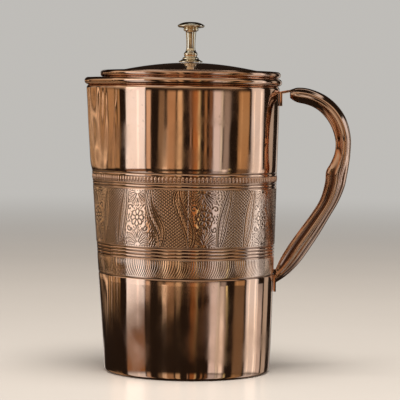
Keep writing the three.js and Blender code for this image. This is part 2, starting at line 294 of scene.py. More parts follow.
def rounded_section(points: Sequence[tuple[float, float, float]], steps: int = 5) -> Array:
    """A section whose corners are rounded.

    Args:
        points: radius, height and corner rounding of each point, in metres.
        steps: spans in each rounded corner.

    Returns:
        Radius and height of each point of the finished section.
    """
    p = np.array([q[:2] for q in points])
    out = [p[0]]
    for i in range(1, len(p) - 1):
        before, after = p[i - 1] - p[i], p[i + 1] - p[i]
        reach = min(points[i][2], 0.48 * np.linalg.norm(before), 0.48 * np.linalg.norm(after))
        a = p[i] + before / np.linalg.norm(before) * reach
        b = p[i] + after / np.linalg.norm(after) * reach
        for t in np.linspace(0.0, 1.0, steps + 1):
            out.append((1 - t) ** 2 * a + 2 * t * (1 - t) * p[i] + t**2 * b)
    out.append(p[-1])
    return np.array(out)


# ---------------------------------------------------------------------------
# Finishes
# ---------------------------------------------------------------------------
class Tree:
    """A short way to write a node tree in code."""

    def __init__(self, tree: bpy.types.NodeTree) -> None:
        """Wraps an empty tree."""
        self.tree = tree
        self.tree.nodes.clear()

    def add(
        self, kind: str, inputs: dict[str | int, object] | None = None, **settings: object
    ) -> bpy.types.Node:
        """Adds a node.

        Args:
            kind: the node's type name.
            inputs: socket name or number to a value, or to a socket to link from.
            settings: attributes to set on the node first.

        Returns:
            The new node.
        """
        node = self.tree.nodes.new(kind)
        for key, value in settings.items():
            setattr(node, key, value)
        for key, value in (inputs or {}).items():
            if isinstance(value, bpy.types.NodeSocket):
                self.tree.links.new(value, node.inputs[key])
            else:
                node.inputs[key].default_value = value
        return node

    def math(
        self, operation: str, a: object, b: object = 0.0, clamp: bool = False
    ) -> bpy.types.NodeSocket:
        """Adds a maths node and returns its result."""
        return self.add(
            "ShaderNodeMath", {0: a, 1: b}, operation=operation, use_clamp=clamp
        ).outputs[0]

    def mix(self, factor: object, a: object, b: object) -> bpy.types.NodeSocket:
        """Mixes two colours and returns the result."""
        node = self.add("ShaderNodeMix", {0: factor}, data_type="RGBA")
        for number, value in ((6, a), (7, b)):
            if isinstance(value, bpy.types.NodeSocket):
                self.tree.links.new(value, node.inputs[number])
            else:
                node.inputs[number].default_value = (*value, 1.0)
        return node.outputs[2]

    def ramp(
        self, value: object, low: float, high: float, start: float = 0.0, stop: float = 1.0
    ) -> bpy.types.NodeSocket:
        """Maps low..high to start..stop, eased and clamped."""
        node = self.add(
            "ShaderNodeMapRange",
            {"Value": value, "From Min": low, "From Max": high, "To Min": start, "To Max": stop},
            interpolation_type="SMOOTHSTEP",
        )
        return node.outputs[0]


def new_group(
    name: str, inputs: dict[str, tuple[str, object]], outputs: dict[str, str]
) -> tuple[Tree, dict]:
    """Starts a shader node group with named sockets.

    Args:
        name: the group's name.
        inputs: socket name to its kind and its default.
        outputs: socket name to its kind.

    Returns:
        The tree and the group's input sockets by name.
    """
    group = bpy.data.node_groups.new(name, "ShaderNodeTree")
    tree = Tree(group)
    for label, (kind, default) in inputs.items():
        group.interface.new_socket(label, in_out="INPUT", socket_type=kind).default_value = default
    for label, kind in outputs.items():
        group.interface.new_socket(label, in_out="OUTPUT", socket_type=kind)
    source = tree.add("NodeGroupInput")
    return tree, {label: source.outputs[label] for label in inputs}


def polish_group() -> bpy.types.NodeTree:
    """Fine polishing lines, hairline scratches and wiped smudges, as height and masks.

    Returns:
        The group. Its outputs are Height, Scratch and Smudge.
    """
    tree, given = new_group(
        "hand_polish",
        {
            "Vector": ("NodeSocketVector", (0.0, 0.0, 0.0)),
            "Line Scale": ("NodeSocketFloat", 900.0),
            "Scratch Amount": ("NodeSocketFloat", 0.5),
        },
        {"Height": "NodeSocketFloat", "Scratch": "NodeSocketFloat", "Smudge": "NodeSocketFloat"},
    )
    stretched = tree.add(
        "ShaderNodeMapping", {"Vector": given["Vector"], "Scale": (0.35, 0.35, 2.4)},
        vector_type="POINT"
    ).outputs[0]
    lines = tree.add(
        "ShaderNodeTexNoise", {"Vector": stretched, "Scale": given["Line Scale"], "Detail": 3.0}
    )
    tilted = tree.add(
        "ShaderNodeMapping", {
            "Vector": given["Vector"], "Rotation": (0.5, 0.3, 0.9), "Scale": (1.0, 7.0, 1.0)
        }
    ).outputs[0]
    hairs = tree.add(
        "ShaderNodeTexVoronoi", {"Vector": tilted, "Scale": 90.0}, feature="DISTANCE_TO_EDGE"
    )
    scratch = tree.math(
        "MULTIPLY",
        tree.ramp(hairs.outputs["Distance"], 0.0, 0.035, 1.0, 0.0),
        given["Scratch Amount"],
    )
    broad = tree.add(
        "ShaderNodeTexNoise",
        {"Vector": given["Vector"], "Scale": 26.0, "Detail": 4.0, "Distortion": 0.8},
    )
    smudge = tree.ramp(broad.outputs["Fac"], 0.42, 0.66)
    height = tree.math("SUBTRACT", lines.outputs["Fac"], tree.math("MULTIPLY", scratch, 0.8))
    tree.add("NodeGroupOutput", {"Height": height, "Scratch": scratch, "Smudge": smudge})
    return tree.tree


def tarnish_group() -> bpy.types.NodeTree:
    """Slow colour change of worn copper: warm blotches, brown film and small dark specks.

    Returns:
        The group. Its outputs are Blotch, Film and Speck.
    """
    tree, given = new_group(
        "tarnish",
        {"Vector": ("NodeSocketVector", (0.0, 0.0, 0.0)), "Scale": ("NodeSocketFloat", 18.0)},
        {"Blotch": "NodeSocketFloat", "Film": "NodeSocketFloat", "Speck": "NodeSocketFloat"},
    )
    wide = tree.add(
        "ShaderNodeTexNoise", {"Vector": given["Vector"], "Scale": given["Scale"], "Detail": 5.0}
    )
    film_scale = tree.math("MULTIPLY", given["Scale"], 0.45)
    film = tree.add(
        "ShaderNodeTexNoise", {
            "Vector": given["Vector"], "Scale": film_scale, "Detail": 3.0, "Distortion": 1.6
        }
    )
    speck_scale = tree.math("MULTIPLY", given["Scale"], 22.0)
    speck = tree.add(
        "ShaderNodeTexNoise", {"Vector": given["Vector"], "Scale": speck_scale, "Detail": 1.0}
    )
    tree.add(
        "NodeGroupOutput",
        {
            "Blotch": tree.ramp(wide.outputs["Fac"], 0.35, 0.7),
            "Film": tree.ramp(film.outputs["Fac"], 0.45, 0.72),
            "Speck": tree.ramp(speck.outputs["Fac"], 0.68, 0.76),
        },
    )
    return tree.tree


@dataclass(frozen=True)
class SharedEffects:
    """The node groups that more than one finish uses."""

    polish: bpy.types.NodeTree
    tarnish: bpy.types.NodeTree


@dataclass(frozen=True)
class MetalFinish:
    """A polished metal with tarnish, smudges, fine polishing lines, and cuts and grooves painted
    dark as shade and dark residue.
    """

    name: str
    bright: tuple[float, float, float]
    warm: tuple[float, float, float]
    dark: tuple[float, float, float]
    roughness: float = 0.14
    smudge_roughness: float = 0.1
    film: float = 0.35
    speck: float = 0.12
    line_scale: float = 900.0
    scratch: float = 0.4
    bump: float = 0.03
    # How dark the cuts and grooves are painted, as shade and dark residue.
    recess_shade_and_dirt: float = 0.8
    object_scale: float = 18.0

    def build(self, shared: SharedEffects) -> bpy.types.Material:
        """Builds the material.

        Args:
            shared: the node groups for polish and tarnish.

        Returns:
            The finished material.
        """
        material = bpy.data.materials.new(self.name)
        material.use_nodes = True
        tree = Tree(material.node_tree)
        place = tree.add("ShaderNodeTexCoord").outputs["Object"]
        tarnish = tree.add("ShaderNodeGroup", node_tree=shared.tarnish)
        tarnish.inputs["Scale"].default_value = self.object_scale
        polish = tree.add("ShaderNodeGroup", node_tree=shared.polish)
        polish.inputs["Line Scale"].default_value = self.line_scale
        polish.inputs["Scratch Amount"].default_value = self.scratch
        for group in (tarnish, polish):
            tree.tree.links.new(place, group.inputs["Vector"])
        cavity = tree.add("ShaderNodeAttribute", attribute_name="cavity").outputs["Fac"]
        colour = tree.mix(tarnish.outputs["Blotch"], self.bright, self.warm)
        film = tree.math("MULTIPLY", tarnish.outputs["Film"], self.film)
        speck = tree.math("MULTIPLY", tarnish.outputs["Speck"], self.speck)
        # Cuts and grooves, marked by the cavity attribute, are painted towards the dark colour.
        # This is painted shade and dark residue, mixed with the real tarnish film and specks.
        recess_shade_and_dirt = tree.math("MULTIPLY", cavity, self.recess_shade_and_dirt, clamp=True)
        dirt_and_shade = tree.math("MAXIMUM", tree.math("MAXIMUM", film, speck), recess_shade_and_dirt)
        colour = tree.mix(dirt_and_shade, colour, self.dark)
        rough = tree.math("MULTIPLY_ADD", polish.outputs["Smudge"], self.smudge_roughness)
        rough.node.inputs[2].default_value = self.roughness
        rough = tree.math("ADD", rough, tree.math("MULTIPLY", dirt_and_shade, 0.22), clamp=True)
        bump = tree.add(
            "ShaderNodeBump", {
                "Height": polish.outputs["Height"], "Strength": self.bump, "Distance": 0.05 * MM
            }
        )
        shader = tree.add(
            "ShaderNodeBsdfPrincipled",
            {"Base Color": colour, "Roughness": rough, "Metallic": 1.0, "Normal": bump.outputs[0]},
        )
        tree.add("ShaderNodeOutputMaterial", {"Surface": shader.outputs[0]})
        return material


class Finish(Enum):
    """The jug's finishes: name, bright, warm and dark colour, and what differs from the usual."""

    WALL = MetalFinish(
        "polished_copper", (0.94, 0.65, 0.47), (0.91, 0.58, 0.38), (0.15, 0.065, 0.03),
        roughness=0.06, film=0.22,
    )
    # The frieze's bright and warm colours are paler and creamier than the wall's. They are a
    # painted sheen for the light that its cuts scatter. Its cuts are painted nearly black, as shade
    # and dark residue.
    FRIEZE = MetalFinish(
        "engraved_copper", (0.97, 0.73, 0.56), (0.95, 0.64, 0.43), (0.05, 0.02, 0.01),
        roughness=0.06, recess_shade_and_dirt=0.95, film=0.12,
    )
    HANDLE = MetalFinish(
        "handle_copper", (0.93, 0.66, 0.50), (0.90, 0.59, 0.41), (0.10, 0.032, 0.014),
        roughness=0.06, film=0.12, speck=0.06, recess_shade_and_dirt=0.9, bump=0.01,
    )
    LID = MetalFinish(
        "lid_copper", (0.91, 0.61, 0.44), (0.83, 0.51, 0.33), (0.13, 0.05, 0.03),
        roughness=0.08, film=0.4,
    )
    FOOT = MetalFinish(
        "foot_copper", (0.74, 0.44, 0.30), (0.60, 0.33, 0.21), (0.12, 0.05, 0.03),
        roughness=0.3, film=0.7, bump=0.2,
    )
    KNOB = MetalFinish(
        "pale_brass", (0.92, 0.86, 0.70), (0.88, 0.78, 0.55), (0.16, 0.10, 0.05),
        roughness=0.06,
    )
    STEEL = MetalFinish(
        "drawn_steel", (0.56, 0.55, 0.53), (0.46, 0.45, 0.43), (0.12, 0.10, 0.09),
        roughness=0.32,
    )


class Dresser:
    """Builds each finish once, puts it on pieces and hands finished pieces to the frame."""

    def __init__(self) -> None:
        """Builds the shared node groups."""
        self.shared = SharedEffects(polish_group(), tarnish_group())
        self.built: dict[Finish, bpy.types.Material] = {}

    def material(self, finish: Finish) -> bpy.types.Material:
        """Returns the finish's material, building it on first use."""
        if finish not in self.built:
            self.built[finish] = finish.value.build(self.shared)
        return self.built[finish]

    def dress(self, obj: bpy.types.Object, finish: Finish) -> None:
        """Gives an object one finish in its only slot."""
        obj.data.materials.clear()
        obj.data.materials.append(self.material(finish))

    def deliver(
        self, obj: bpy.types.Object, finish: Finish, body: str, node: str
    ) -> None:
        """Dresses a finished piece, parents it to its body's empty and hides the CAD node that it
        stands for.

        Args:
            obj: the finished piece.
            finish: its finish.
            body: the CAD body that it moves with.
            node: the CAD node that it stands for.
        """
        self.dress(obj, finish)
        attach(obj, body)
        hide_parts(node)
        LOG.info("piece %s: %d faces on %s", obj.name, len(obj.data.polygons), body)


# ---------------------------------------------------------------------------
# The body
# ---------------------------------------------------------------------------
@dataclass(frozen=True)
class JugPlan:
    """The plan outline of the wall: a round taper with a beak whose sides are tangent to it."""

    height: float = 184.5 * MM
    foot_radius: float = 54.0 * MM
    mouth_radius: float = 58.4 * MM
    taper_power: float = 0.73
    lip_reach: float = 9.3 * MM
    lip_reach_low: float = 7.4 * MM
    lip_depth: float = 47.5 * MM
    lip_run_out: float = 6.5 * MM
    keel_reach: float = 6.2 * MM
    keel_power: float = 1.1
    keel_start: float = 8.0 * MM
    lip_round: float = math.radians(3.0)
    keel_round: float = math.radians(8.0)

    def radius(self, z: Array) -> Array:
        """Radius of the round part of the wall at a height."""
        share = np.clip(z / self.height, 0.0, 1.0)
        return self.foot_radius + (self.mouth_radius - self.foot_radius) * share**self.taper_power

    def outline(self, angle: Array, z: Array) -> Array:
        """Distance of the wall's outer face from the axis.

        Args:
            angle: direction from the axis, in radians.
            z: height.

        Returns:
            The distance at each place.
        """
        z = np.minimum(z, self.height)
        lip_low = self.height - self.lip_depth
        keel_top = lip_low - self.lip_run_out
        lip_share = smoothstep(keel_top, lip_low, z)
        lip = (
            self.lip_reach_low
            + (self.lip_reach - self.lip_reach_low) * (z - lip_low) / self.lip_depth
        )
        keel_rise = np.maximum((z - self.keel_start) / (keel_top - self.keel_start), 0.0)
        reach = self.keel_reach * keel_rise**self.keel_power * (1 - lip_share) + lip * lip_share
        radius = self.radius(z)
        root = np.arccos(radius / (radius + reach))
        soft = np.minimum(self.keel_round * (1 - lip_share) + self.lip_round * lip_share, root)
        from_lip = np.abs(wrapped(angle - math.pi))
        beak = np.clip(root + soft - np.hypot(from_lip, soft), 0.0, root)
        return radius / np.cos(beak)

    def place(self, angle: Array, offset: Array, z: Array) -> Array:
        """Points that stand off the outline by a distance, square to it in plan.

        Args:
            angle: direction from the axis.
            offset: distance outwards from the wall's outer face.
            z: height.

        Returns:
            An array of points, with the coordinates last.
        """
        step = 0.004
        r = self.outline(angle, z)
        ahead, behind = self.outline(angle + step, z), self.outline(angle - step, z)
        tx = ahead * np.cos(angle + step) - behind * np.cos(angle - step)
        ty = ahead * np.sin(angle + step) - behind * np.sin(angle - step)
        size = np.hypot(tx, ty)
        x = r * np.cos(angle) + offset * ty / size
        y = r * np.sin(angle) - offset * tx / size
        return np.stack(np.broadcast_arrays(x, y, z), axis=-1)


@dataclass(frozen=True)
class BandLayout:
    """Heights of the engraved band: lines, beads, frieze and slanted strokes."""

    frieze_low: float = 84.0 * MM
    frieze_high: float = 120.4 * MM
    lines: tuple[float, ...] = (64.1, 77.2, 79.2, 81.3, 83.3, 121.5, 123.4, 130.3)
    line_width: float = 0.42 * MM
    line_depth: float = 0.30 * MM
    bead_height: float = 126.5 * MM
    bead_count: int = 144
    bead_channel: tuple[float, float] = (124.3, 128.7)
    bead_sink: float = 0.28 * MM
    stroke_low: float = 64.9 * MM
    stroke_high: float = 76.1 * MM
    stroke_count: int = 226
    stroke_pitch: float = 1.56
    stroke_width: float = 0.30
    stroke_lean: float = 3.4
    stroke_bow: float = 1.3
    stroke_depth: float = 0.10 * MM

    def groove(self, z: Array) -> Array:
        """Share of the full groove depth at a height, 0 to 1."""
        depth = np.zeros_like(z)
        for line in self.lines:
            depth = np.maximum(depth, np.exp(-(((z - line * MM) / self.line_width) ** 2)))
        low, high = self.bead_channel
        sunk = (
            smoothstep((low - 0.2) * MM, (low + 0.3) * MM, z)
            * smoothstep((high + 0.2) * MM, (high - 0.3) * MM, z)
        )
        return np.maximum(depth, 0.7 * sunk)

    def strokes(self, angle: Array, z: Array) -> Array:
        """Share of the full depth of the slanted, bowed strokes under the frieze.

        Args:
            angle: direction from the jug's axis, in radians.
            z: height, in metres.

        Returns:
            The share at each place, 0 to 1.
        """
        w = 2.0 * (z - self.stroke_low) / (self.stroke_high - self.stroke_low) - 1.0
        drift = -0.5 * self.stroke_lean * w + self.stroke_bow * w**2
        unsteady = 0.18 * np.sin(9.0 * angle) + 0.1 * np.sin(31.0 * angle)
        turn = angle * self.stroke_count / TAU + drift / self.stroke_pitch + unsteady
        wave = np.abs(np.sin(math.pi * turn))
        cut = np.exp(-((wave / self.stroke_width) ** 2))
        return cut * smoothstep(1.0, 0.86, np.abs(w))


@dataclass(frozen=True)
class FriezePattern:
    """The engraved foliage: pearled nets between long blades, and rosettes and fans between them.

    Lengths inside this class are millimetres on the unrolled wall.
    """

    units: int = 8
    radius: float = 56.7
    height: float = 36.4
    net_across: float = 2.5
    net_up: float = 1.95
    line: float = 0.30
    depth: float = 0.10
    swell: float = 0.014
    net_line: float = 0.32
    blade_stand: float = 9.4
    blade_bend: float = 3.4
    blade_sway: float = 0.9
    blade_tip: float = 0.3
    blade_swell: float = 2.5
    rose_height: float = 18.2
    fan_stem: float = 0.6
    low_fan_reach: float = 12.6
    high_fan_reach: float = 11.6
    punch_pitch: float = 1.9
    phase: float = math.radians(-12.0 - 90.0)

    def field(self, angle: Array, v: Array) -> tuple[Array, Array]:
        """Relief of the frieze and how dark its cuts are painted, as shade and dark residue.

        Args:
            angle: direction from the jug's axis, in radians.
            v: height above the frieze's lower edge, in millimetres.

        Returns:
            The relief in millimetres, negative where metal is cut away, and how dark the cuts are
            painted, as shade and dark residue, 0 to 1.
        """
        unit = TAU * self.radius / self.units
        u_all = (angle - self.phase) * self.radius
        v = np.broadcast_to(v, np.broadcast(u_all, v).shape)
        u_all = u_all + 0.5 * waves(u_all, v, 29.0, 5)
        v = v + 0.35 * waves(u_all, v, 25.0, 9)
        number = np.floor((u_all + unit / 2) / unit)
        u = (u_all + unit / 2) % unit - unit / 2
        far = np.where(u > 0, u - unit / 2, u + unit / 2)
        t = np.clip(v / self.height, 0.0, 1.0)
        flip = np.where(number % 2 > 0.5, -1.0, 1.0)
        bend = self.blade_bend * np.cos(math.pi * t) * flip + self.blade_sway * np.sin(TAU * t)
        width = self.blade_tip + self.blade_swell * np.sin(math.pi * t) ** 0.7
        sides = [u + self.blade_stand - bend, u - self.blade_stand - bend]
        inward = np.minimum(sides[0], -sides[1]) - width

        pearls, lattice = self.net(u, v)
        in_net = smoothstep(0.2, 0.8, inward - 0.5)
        cut = lattice * in_net
        rise = pearls * in_net
        blades = np.zeros_like(u)
        for side in sides:
            away = np.abs(side)
            inside = away < width
            slant = (v * 0.8 + away * 1.5) % 1.7 - 0.85
            veins = self.stroke(slant, 0.7) * smoothstep(0.35, 0.8, away) * inside
            border = self.stroke(away - width, 1.25)
            second = 0.8 * self.stroke(away - width - 1.2, 0.8)
            lines = np.maximum.reduce([border, second, veins])
            rib = self.stroke(away, 0.8) * smoothstep(0.6, 1.4, width)
            cut = np.maximum(cut, np.maximum(lines, rib) * (t > 0.0))
            blades = np.maximum(blades, inside)
        outer = smoothstep(1.0, 1.5, -inward - 2 * width)

        rose, rose_rise, rose_room = self.rosette(far, v - self.rose_height)
        low_fan, low_room = self.fan(far, v - self.fan_stem, self.low_fan_reach)
        high_fan, high_room = self.fan(far, self.height - self.fan_stem - v, self.high_fan_reach)
        curls, curl_room = self.tendrils(far, v)
        ground = np.clip(1.0 - rose_room - low_room - high_room - curl_room, 0.0, 1.0)
        punched = self.punches(u_all, v) * ground
        shapes = np.maximum.reduce([rose, low_fan, high_fan, curls, punched])
        cut = np.maximum(cut, shapes * outer)
        rise = np.maximum(rise, rose_rise * outer)
        margin = smoothstep(0.0, 0.5, v) * smoothstep(0.0, 0.5, self.height - v)
        cut = np.clip(cut, 0.0, 1.0) * margin
        rise = rise + 0.5 * blades * (1.0 - cut)
        relief = (
            self.swell * np.clip(rise, 0.0, 1.0) * margin - self.depth * cut * (1.0 + 0.8 * in_net)
        )
        # How dark the cuts and the net's lines are painted: painted shade and dark residue.
        cut_shade_and_dirt = np.maximum(
            smoothstep(0.35, 0.85, cut), smoothstep(0.1, 0.45, lattice * in_net * margin)
        )
        return relief, cut_shade_and_dirt

    def stroke(self, distance: Array, width: float = 1.0) -> Array:
        """Share of the full depth at a distance from the middle of a cut line."""
        return np.exp(-((distance / (self.line * width)) ** 2))

    def net(self, u: Array, v: Array) -> tuple[Array, Array]:
        """A net of crossing cuts with a pearl left in each mesh, as pearls and cuts."""
        a = np.abs(np.sin(math.pi * (u / self.net_across + v / self.net_up)))
        b = np.abs(np.sin(math.pi * (u / self.net_across - v / self.net_up)))
        lattice = np.maximum(
            np.exp(-((a / self.net_line) ** 2)), np.exp(-((b / self.net_line) ** 2))
        )
        return 2.0 * (a * b) ** 2, lattice

    def punches(self, u: Array, v: Array) -> Array:
        """Short slanted strokes that fill the ground between the leaves."""
        pitch, half = self.punch_pitch, self.punch_pitch / 2
        row = np.floor(v / pitch)
        across = (u + half * (row % 2) + 0.4 * np.sin(row * 2.7)) % pitch - half
        up = v % pitch - half
        way = np.where(np.sin(row * 1.3 + np.floor(u / (4 * pitch)) * 2.1) > 0, 1.0, -1.0)
        return self.stroke(across - 0.55 * way * up, 0.8) * smoothstep(1.0, 0.5, np.abs(up))

    def rosette(self, x: Array, y: Array) -> tuple[Array, Array, Array]:
        """An eight-petal flower with a pearl at its centre.

        Args:
            x: distance along the frieze from its centre.
            y: height above its centre.

        Returns:
            Its cuts, its swell and the room that it takes.
        """
        r, a = np.hypot(x, y), np.arctan2(y, x)
        rim = 3.7 + 1.5 * np.abs(np.cos(4.0 * a)) ** 0.7
        cut = np.maximum(self.stroke(r - rim, 1.1), self.stroke(r - 1.5))
        across = r * np.sin(((a + math.pi / 8) % (math.pi / 4)) - math.pi / 8)
        between = r * np.sin((a % (math.pi / 4)) - math.pi / 8)
        petals = self.stroke(between, 0.9) * (r > 1.5) * (r < rim)
        rise = np.where(
            r < 1.4,
            np.cos(r),
            np.cos(np.clip(across / 1.6, -1.5, 1.5)) * smoothstep(rim, rim - 1.2, r),
        )
        return np.maximum(cut, petals), rise, smoothstep(0.5, 0.0, r - rim - 0.4)

    def fan(self, x: Array, y: Array, reach: float) -> tuple[Array, Array]:
        """A fan of curved feather blades that opens away from the frieze's edge.

        Args:
            x: distance along the frieze from the fan's stem.
            y: height above the fan's foot.
            reach: length of the longest blade.

        Returns:
            Its cuts and the room that it takes.
        """
        r, a = np.hypot(x, y), np.arctan2(x, np.maximum(y, 1e-3))
        a = a - 0.035 * r * np.sign(a)
        blade = math.radians(22.0)
        inside = (y > 0) & (np.abs(a) < math.radians(77.0))
        local = ((a + blade / 2) % blade) - blade / 2
        tip = reach * (1.0 - 0.22 * np.abs(a)) * (0.84 + 0.16 * np.cos(local / blade * TAU))
        sides = self.stroke(r * (blade / 2 - np.abs(local)), 0.95) * (r < tip) * (r > 2.2)
        spine = self.stroke(r * local, 0.7) * (r < tip - 1.5) * (r > 5.0)
        cut = np.where(
            inside, np.maximum.reduce([sides, 0.8 * spine, self.stroke(r - tip, 1.1)]), 0.0
        )
        return cut, inside * smoothstep(0.6, 0.0, r - tip - 0.2)

    def tendrils(self, x: Array, y: Array) -> tuple[Array, Array]:
        """Curling stems with buds beside the rosette, as cuts and the room that they take."""
        cut, room = np.zeros_like(x), np.zeros_like(x)
        for side in (-1.0, 1.0):
            for level, roll in ((12.2, 1.0), (24.4, -1.0)):
                dx, dy = side * x - 6.3, (y - level) * roll
                r, a = np.hypot(dx, dy), np.arctan2(dy, dx)
                spiral = np.abs(r - 2.3 + 0.32 * (a + math.pi) % 2.1)
                cut = np.maximum(cut, self.stroke(spiral, 0.95) * (r < 3.1))
                room = np.maximum(room, smoothstep(3.4, 2.9, r))
        return cut, room


@dataclass
class JugBody:
    """The copper wall with its engraved band and beads, and the foot disc."""

    plan: JugPlan = field(default_factory=JugPlan)
    band: BandLayout = field(default_factory=BandLayout)
    pattern: FriezePattern = field(default_factory=FriezePattern)
    sheet: float = 0.8 * MM
    foot_corner: float = 1.7 * MM
    rim_outset: float = 1.4 * MM
    rim_raise: float = 1.8 * MM
    rim_curl: float = 2.0 * MM
    columns: int = 176
    lip_columns: int = 128
    lip_spread: float = math.radians(36.0)
    frieze_sectors: int = 4
    frieze_columns: int = 360
    frieze_rows: int = 145
    bed_depth: float = 0.42 * MM
    stroke_rows: int = 42
    stroke_columns: int = 2048
    wall_heights: int = 44
    groove_steps: tuple[float, ...] = (-0.75, -0.45, -0.2, 0.0, 0.2, 0.45, 0.75)
    bed_edge: float = 0.04 * MM
    slow_dent: float = 0.045 * MM
    fine_dent: float = 0.010 * MM
    hammer_dent: float = 0.10 * MM
    lip_dents: tuple[tuple[float, float, float, float, float], ...] = (
        (-167.5, 181.0, 3.4, 9.0, -0.30),
        (-157.5, 178.0, 3.0, 8.0, -0.24),
        (-162.5, 166.0, 3.6, 10.0, 0.20),
        (-173.0, 158.0, 3.2, 11.0, -0.22),
        (-154.0, 152.0, 3.4, 12.0, 0.16),
        (168.0, 180.0, 3.4, 9.0, -0.28),
        (158.0, 176.0, 3.2, 9.0, 0.20),
        (163.0, 160.0, 3.8, 11.0, -0.22),
    )

    @property
    def rings(self) -> tuple[tuple[float, float], ...]:
        """Lowest and highest edge of each engraved ring."""
        band = self.band
        return (band.frieze_low, band.frieze_high), (band.stroke_low, band.stroke_high)

    def dents(self, angle: Array, z: Array) -> Array:
        """How the hand-raised sheet departs from its true form, in metres.

        Args:
            angle: direction from the axis.
            z: height.

        Returns:
            Offset along the wall's normal.
        """
        along = angle * self.plan.foot_radius
        slow = self.slow_dent * waves(along * 1.6, z * 0.6, 52 * MM, 21)
        slow = slow + self.fine_dent * waves(along * 1.5, z, 11 * MM, 44)
        near_lip = smoothstep(0.75, 0.35, np.abs(wrapped(angle - math.pi)))
        on_lip = near_lip * smoothstep(126 * MM, 140 * MM, z)
        hammered = self.hammer_dent * waves(along * 1.5, z * 0.8, 24 * MM, 33) * on_lip
        for bearing, height, width, tall, depth in self.lip_dents:
            aside = wrapped(angle - math.radians(bearing)) * self.plan.mouth_radius / MM
            bowl = np.exp(-((aside / width) ** 2) - ((z / MM - height) / tall) ** 2)
            hammered = hammered + depth * MM * bowl
        return slow + hammered

    def wall_path(self) -> Array:
        """Middle line of the wall's sheet, from the foot's bend to the end of the rolled rim.

        Returns:
            Offset from the outer face and height of each point.
        """
        mid = -self.sheet / 2
        corner = self.foot_corner
        foot = arc((mid - corner, self.sheet / 2 + corner), corner, -90, 0, 8)
        heights = list(np.linspace(6 * MM, self.plan.height - 0.4 * MM, self.wall_heights))
        for line in (*self.band.lines, *self.band.bead_channel):
            heights.extend((line + step) * MM for step in self.groove_steps)
        for low, high in self.rings:
            heights.extend((low, low + self.bed_edge, high - self.bed_edge, high))
        heights = np.unique(np.round(heights, 6))
        wall = np.column_stack([np.full(len(heights), mid), heights])
        centre = (self.rim_outset - self.rim_curl - self.sheet / 2, self.rim_centre)
        curl = arc(centre, self.rim_curl, 195, -75, 24)
        neck = spline([wall[-1], [mid - 0.35 * MM, self.plan.height + 0.5 * MM], curl[0]], 6)[1:-1]
        return np.vstack([foot, wall, neck, curl])

    @property
    def rim_centre(self) -> float:
        """Height of the middle of the rolled rim."""
        return self.plan.height + self.rim_raise + self.rim_curl + self.sheet / 2

    def make_wall(self) -> bpy.types.Object:
        """Builds the wall's sheet, with a shallow bed for each engraved ring."""
        section = sheet_loop(self.wall_path(), self.sheet)
        outer = np.arange(len(section)) < len(section) // 2
        plain = math.pi - self.lip_spread
        angle = np.concatenate([
            np.linspace(-plain, plain, self.columns, endpoint=False),
            np.linspace(plain, TAU - plain, self.lip_columns, endpoint=False),
        ])
        z = np.repeat(section[:, 1, None], len(angle), 1)
        groove = np.where(outer[:, None] & (z < self.plan.height), self.band.groove(z), 0.0)
        fade = (
            smoothstep(0.0, 10 * MM, z) * smoothstep(self.rim_centre, self.plan.height - 6 * MM, z)
        )
        offset = (
            section[:, 0, None] + self.dents(angle[None, :], z) * fade
            - self.band.line_depth * groove
        )
        for low, high in self.rings:
            inset = self.bed_edge / 2
            bed = outer & (section[:, 1] > low + inset) & (section[:, 1] < high - inset)
            offset -= self.bed_depth * bed[:, None]
        verts = self.plan.place(angle[None, :], offset, z).reshape(-1, 3)
        faces = grid_faces(len(section), len(angle), True, True)
        # The groove depth is stored as cavity, so the finish paints the engraved lines dark:
        # painted shade and dark residue.
        return outward(add_mesh("wall_sheet", verts, faces, groove.ravel()))

    def make_ring(
        self, name: str, angle: Array, z: Array, offset: Array, dirt_and_shade: Array, full: bool
    ) -> bpy.types.Object:
        """A closed, dense piece of engraved wall that lies in its bed.

        Args:
            name: the object's name.
            angle: direction of each column.
            z: height of each row.
            offset: distance of each place from the wall's outer face, rows by columns.
            dirt_and_shade: how dark each place is painted, as shade and dark residue in the cuts, 0
                to 1.
            full: whether the piece goes all the way round.

        Returns:
            The piece, right side out.
        """
        rows, cols = offset.shape
        front = self.plan.place(angle[None, :], offset, z[:, None]).reshape(-1, 3)
        back = [
            self.plan.place(angle, np.full(cols, -0.9 * self.bed_depth), np.full(cols, k))
            for k in (z[0], z[-1])
        ]
        verts = np.vstack([front, *back])
        low, high = rows * cols, rows * cols + cols
        i = np.arange(cols if full else cols - 1)
        j = (i + 1) % cols
        top = (rows - 1) * cols
        faces = np.vstack([
            grid_faces(rows, cols, False, full),
            np.stack([low + i, low + j, j, i], axis=1),
            np.stack([top + i, top + j, high + j, high + i], axis=1),
            np.stack([high + i, high + j, low + j, low + i], axis=1),
        ])
        caps = []
        if not full:
            caps = [
                [c + cols * r for r in range(rows)] + [high + c, low + c] for c in (0, cols - 1)
            ]
            caps[1].reverse()
        obj = plain_mesh(name, verts.tolist(), faces.tolist() + caps)
        obj.data.polygons.foreach_set("use_smooth", [True] * len(faces) + [False] * len(caps))
        store(obj.data, "cavity", "FLOAT", np.concatenate([dirt_and_shade.ravel(), np.zeros(2 * cols)]))
        obj.data.update()
        return outward(obj)

    def make_frieze(self) -> list[bpy.types.Object]:
        """Builds the engraved frieze as sectors of dense relief."""
        pieces = []
        z = np.linspace(self.band.frieze_low, self.band.frieze_high, self.frieze_rows)
        for sector in range(self.frieze_sectors):
            start = sector * TAU / self.frieze_sectors
            angle = start + np.linspace(0.0, TAU / self.frieze_sectors, self.frieze_columns + 1)
            # The second value is how dark the cuts are painted: painted shade and dark residue.
            relief, dirt_and_shade = self.pattern.field(
                angle[None, :], (z[:, None] - self.band.frieze_low) / MM
            )
            offset = self.dents(angle[None, :], z[:, None]) + relief * MM
            pieces.append(self.make_ring(f"frieze_{sector + 1}", angle, z, offset, dirt_and_shade, False))
        return pieces

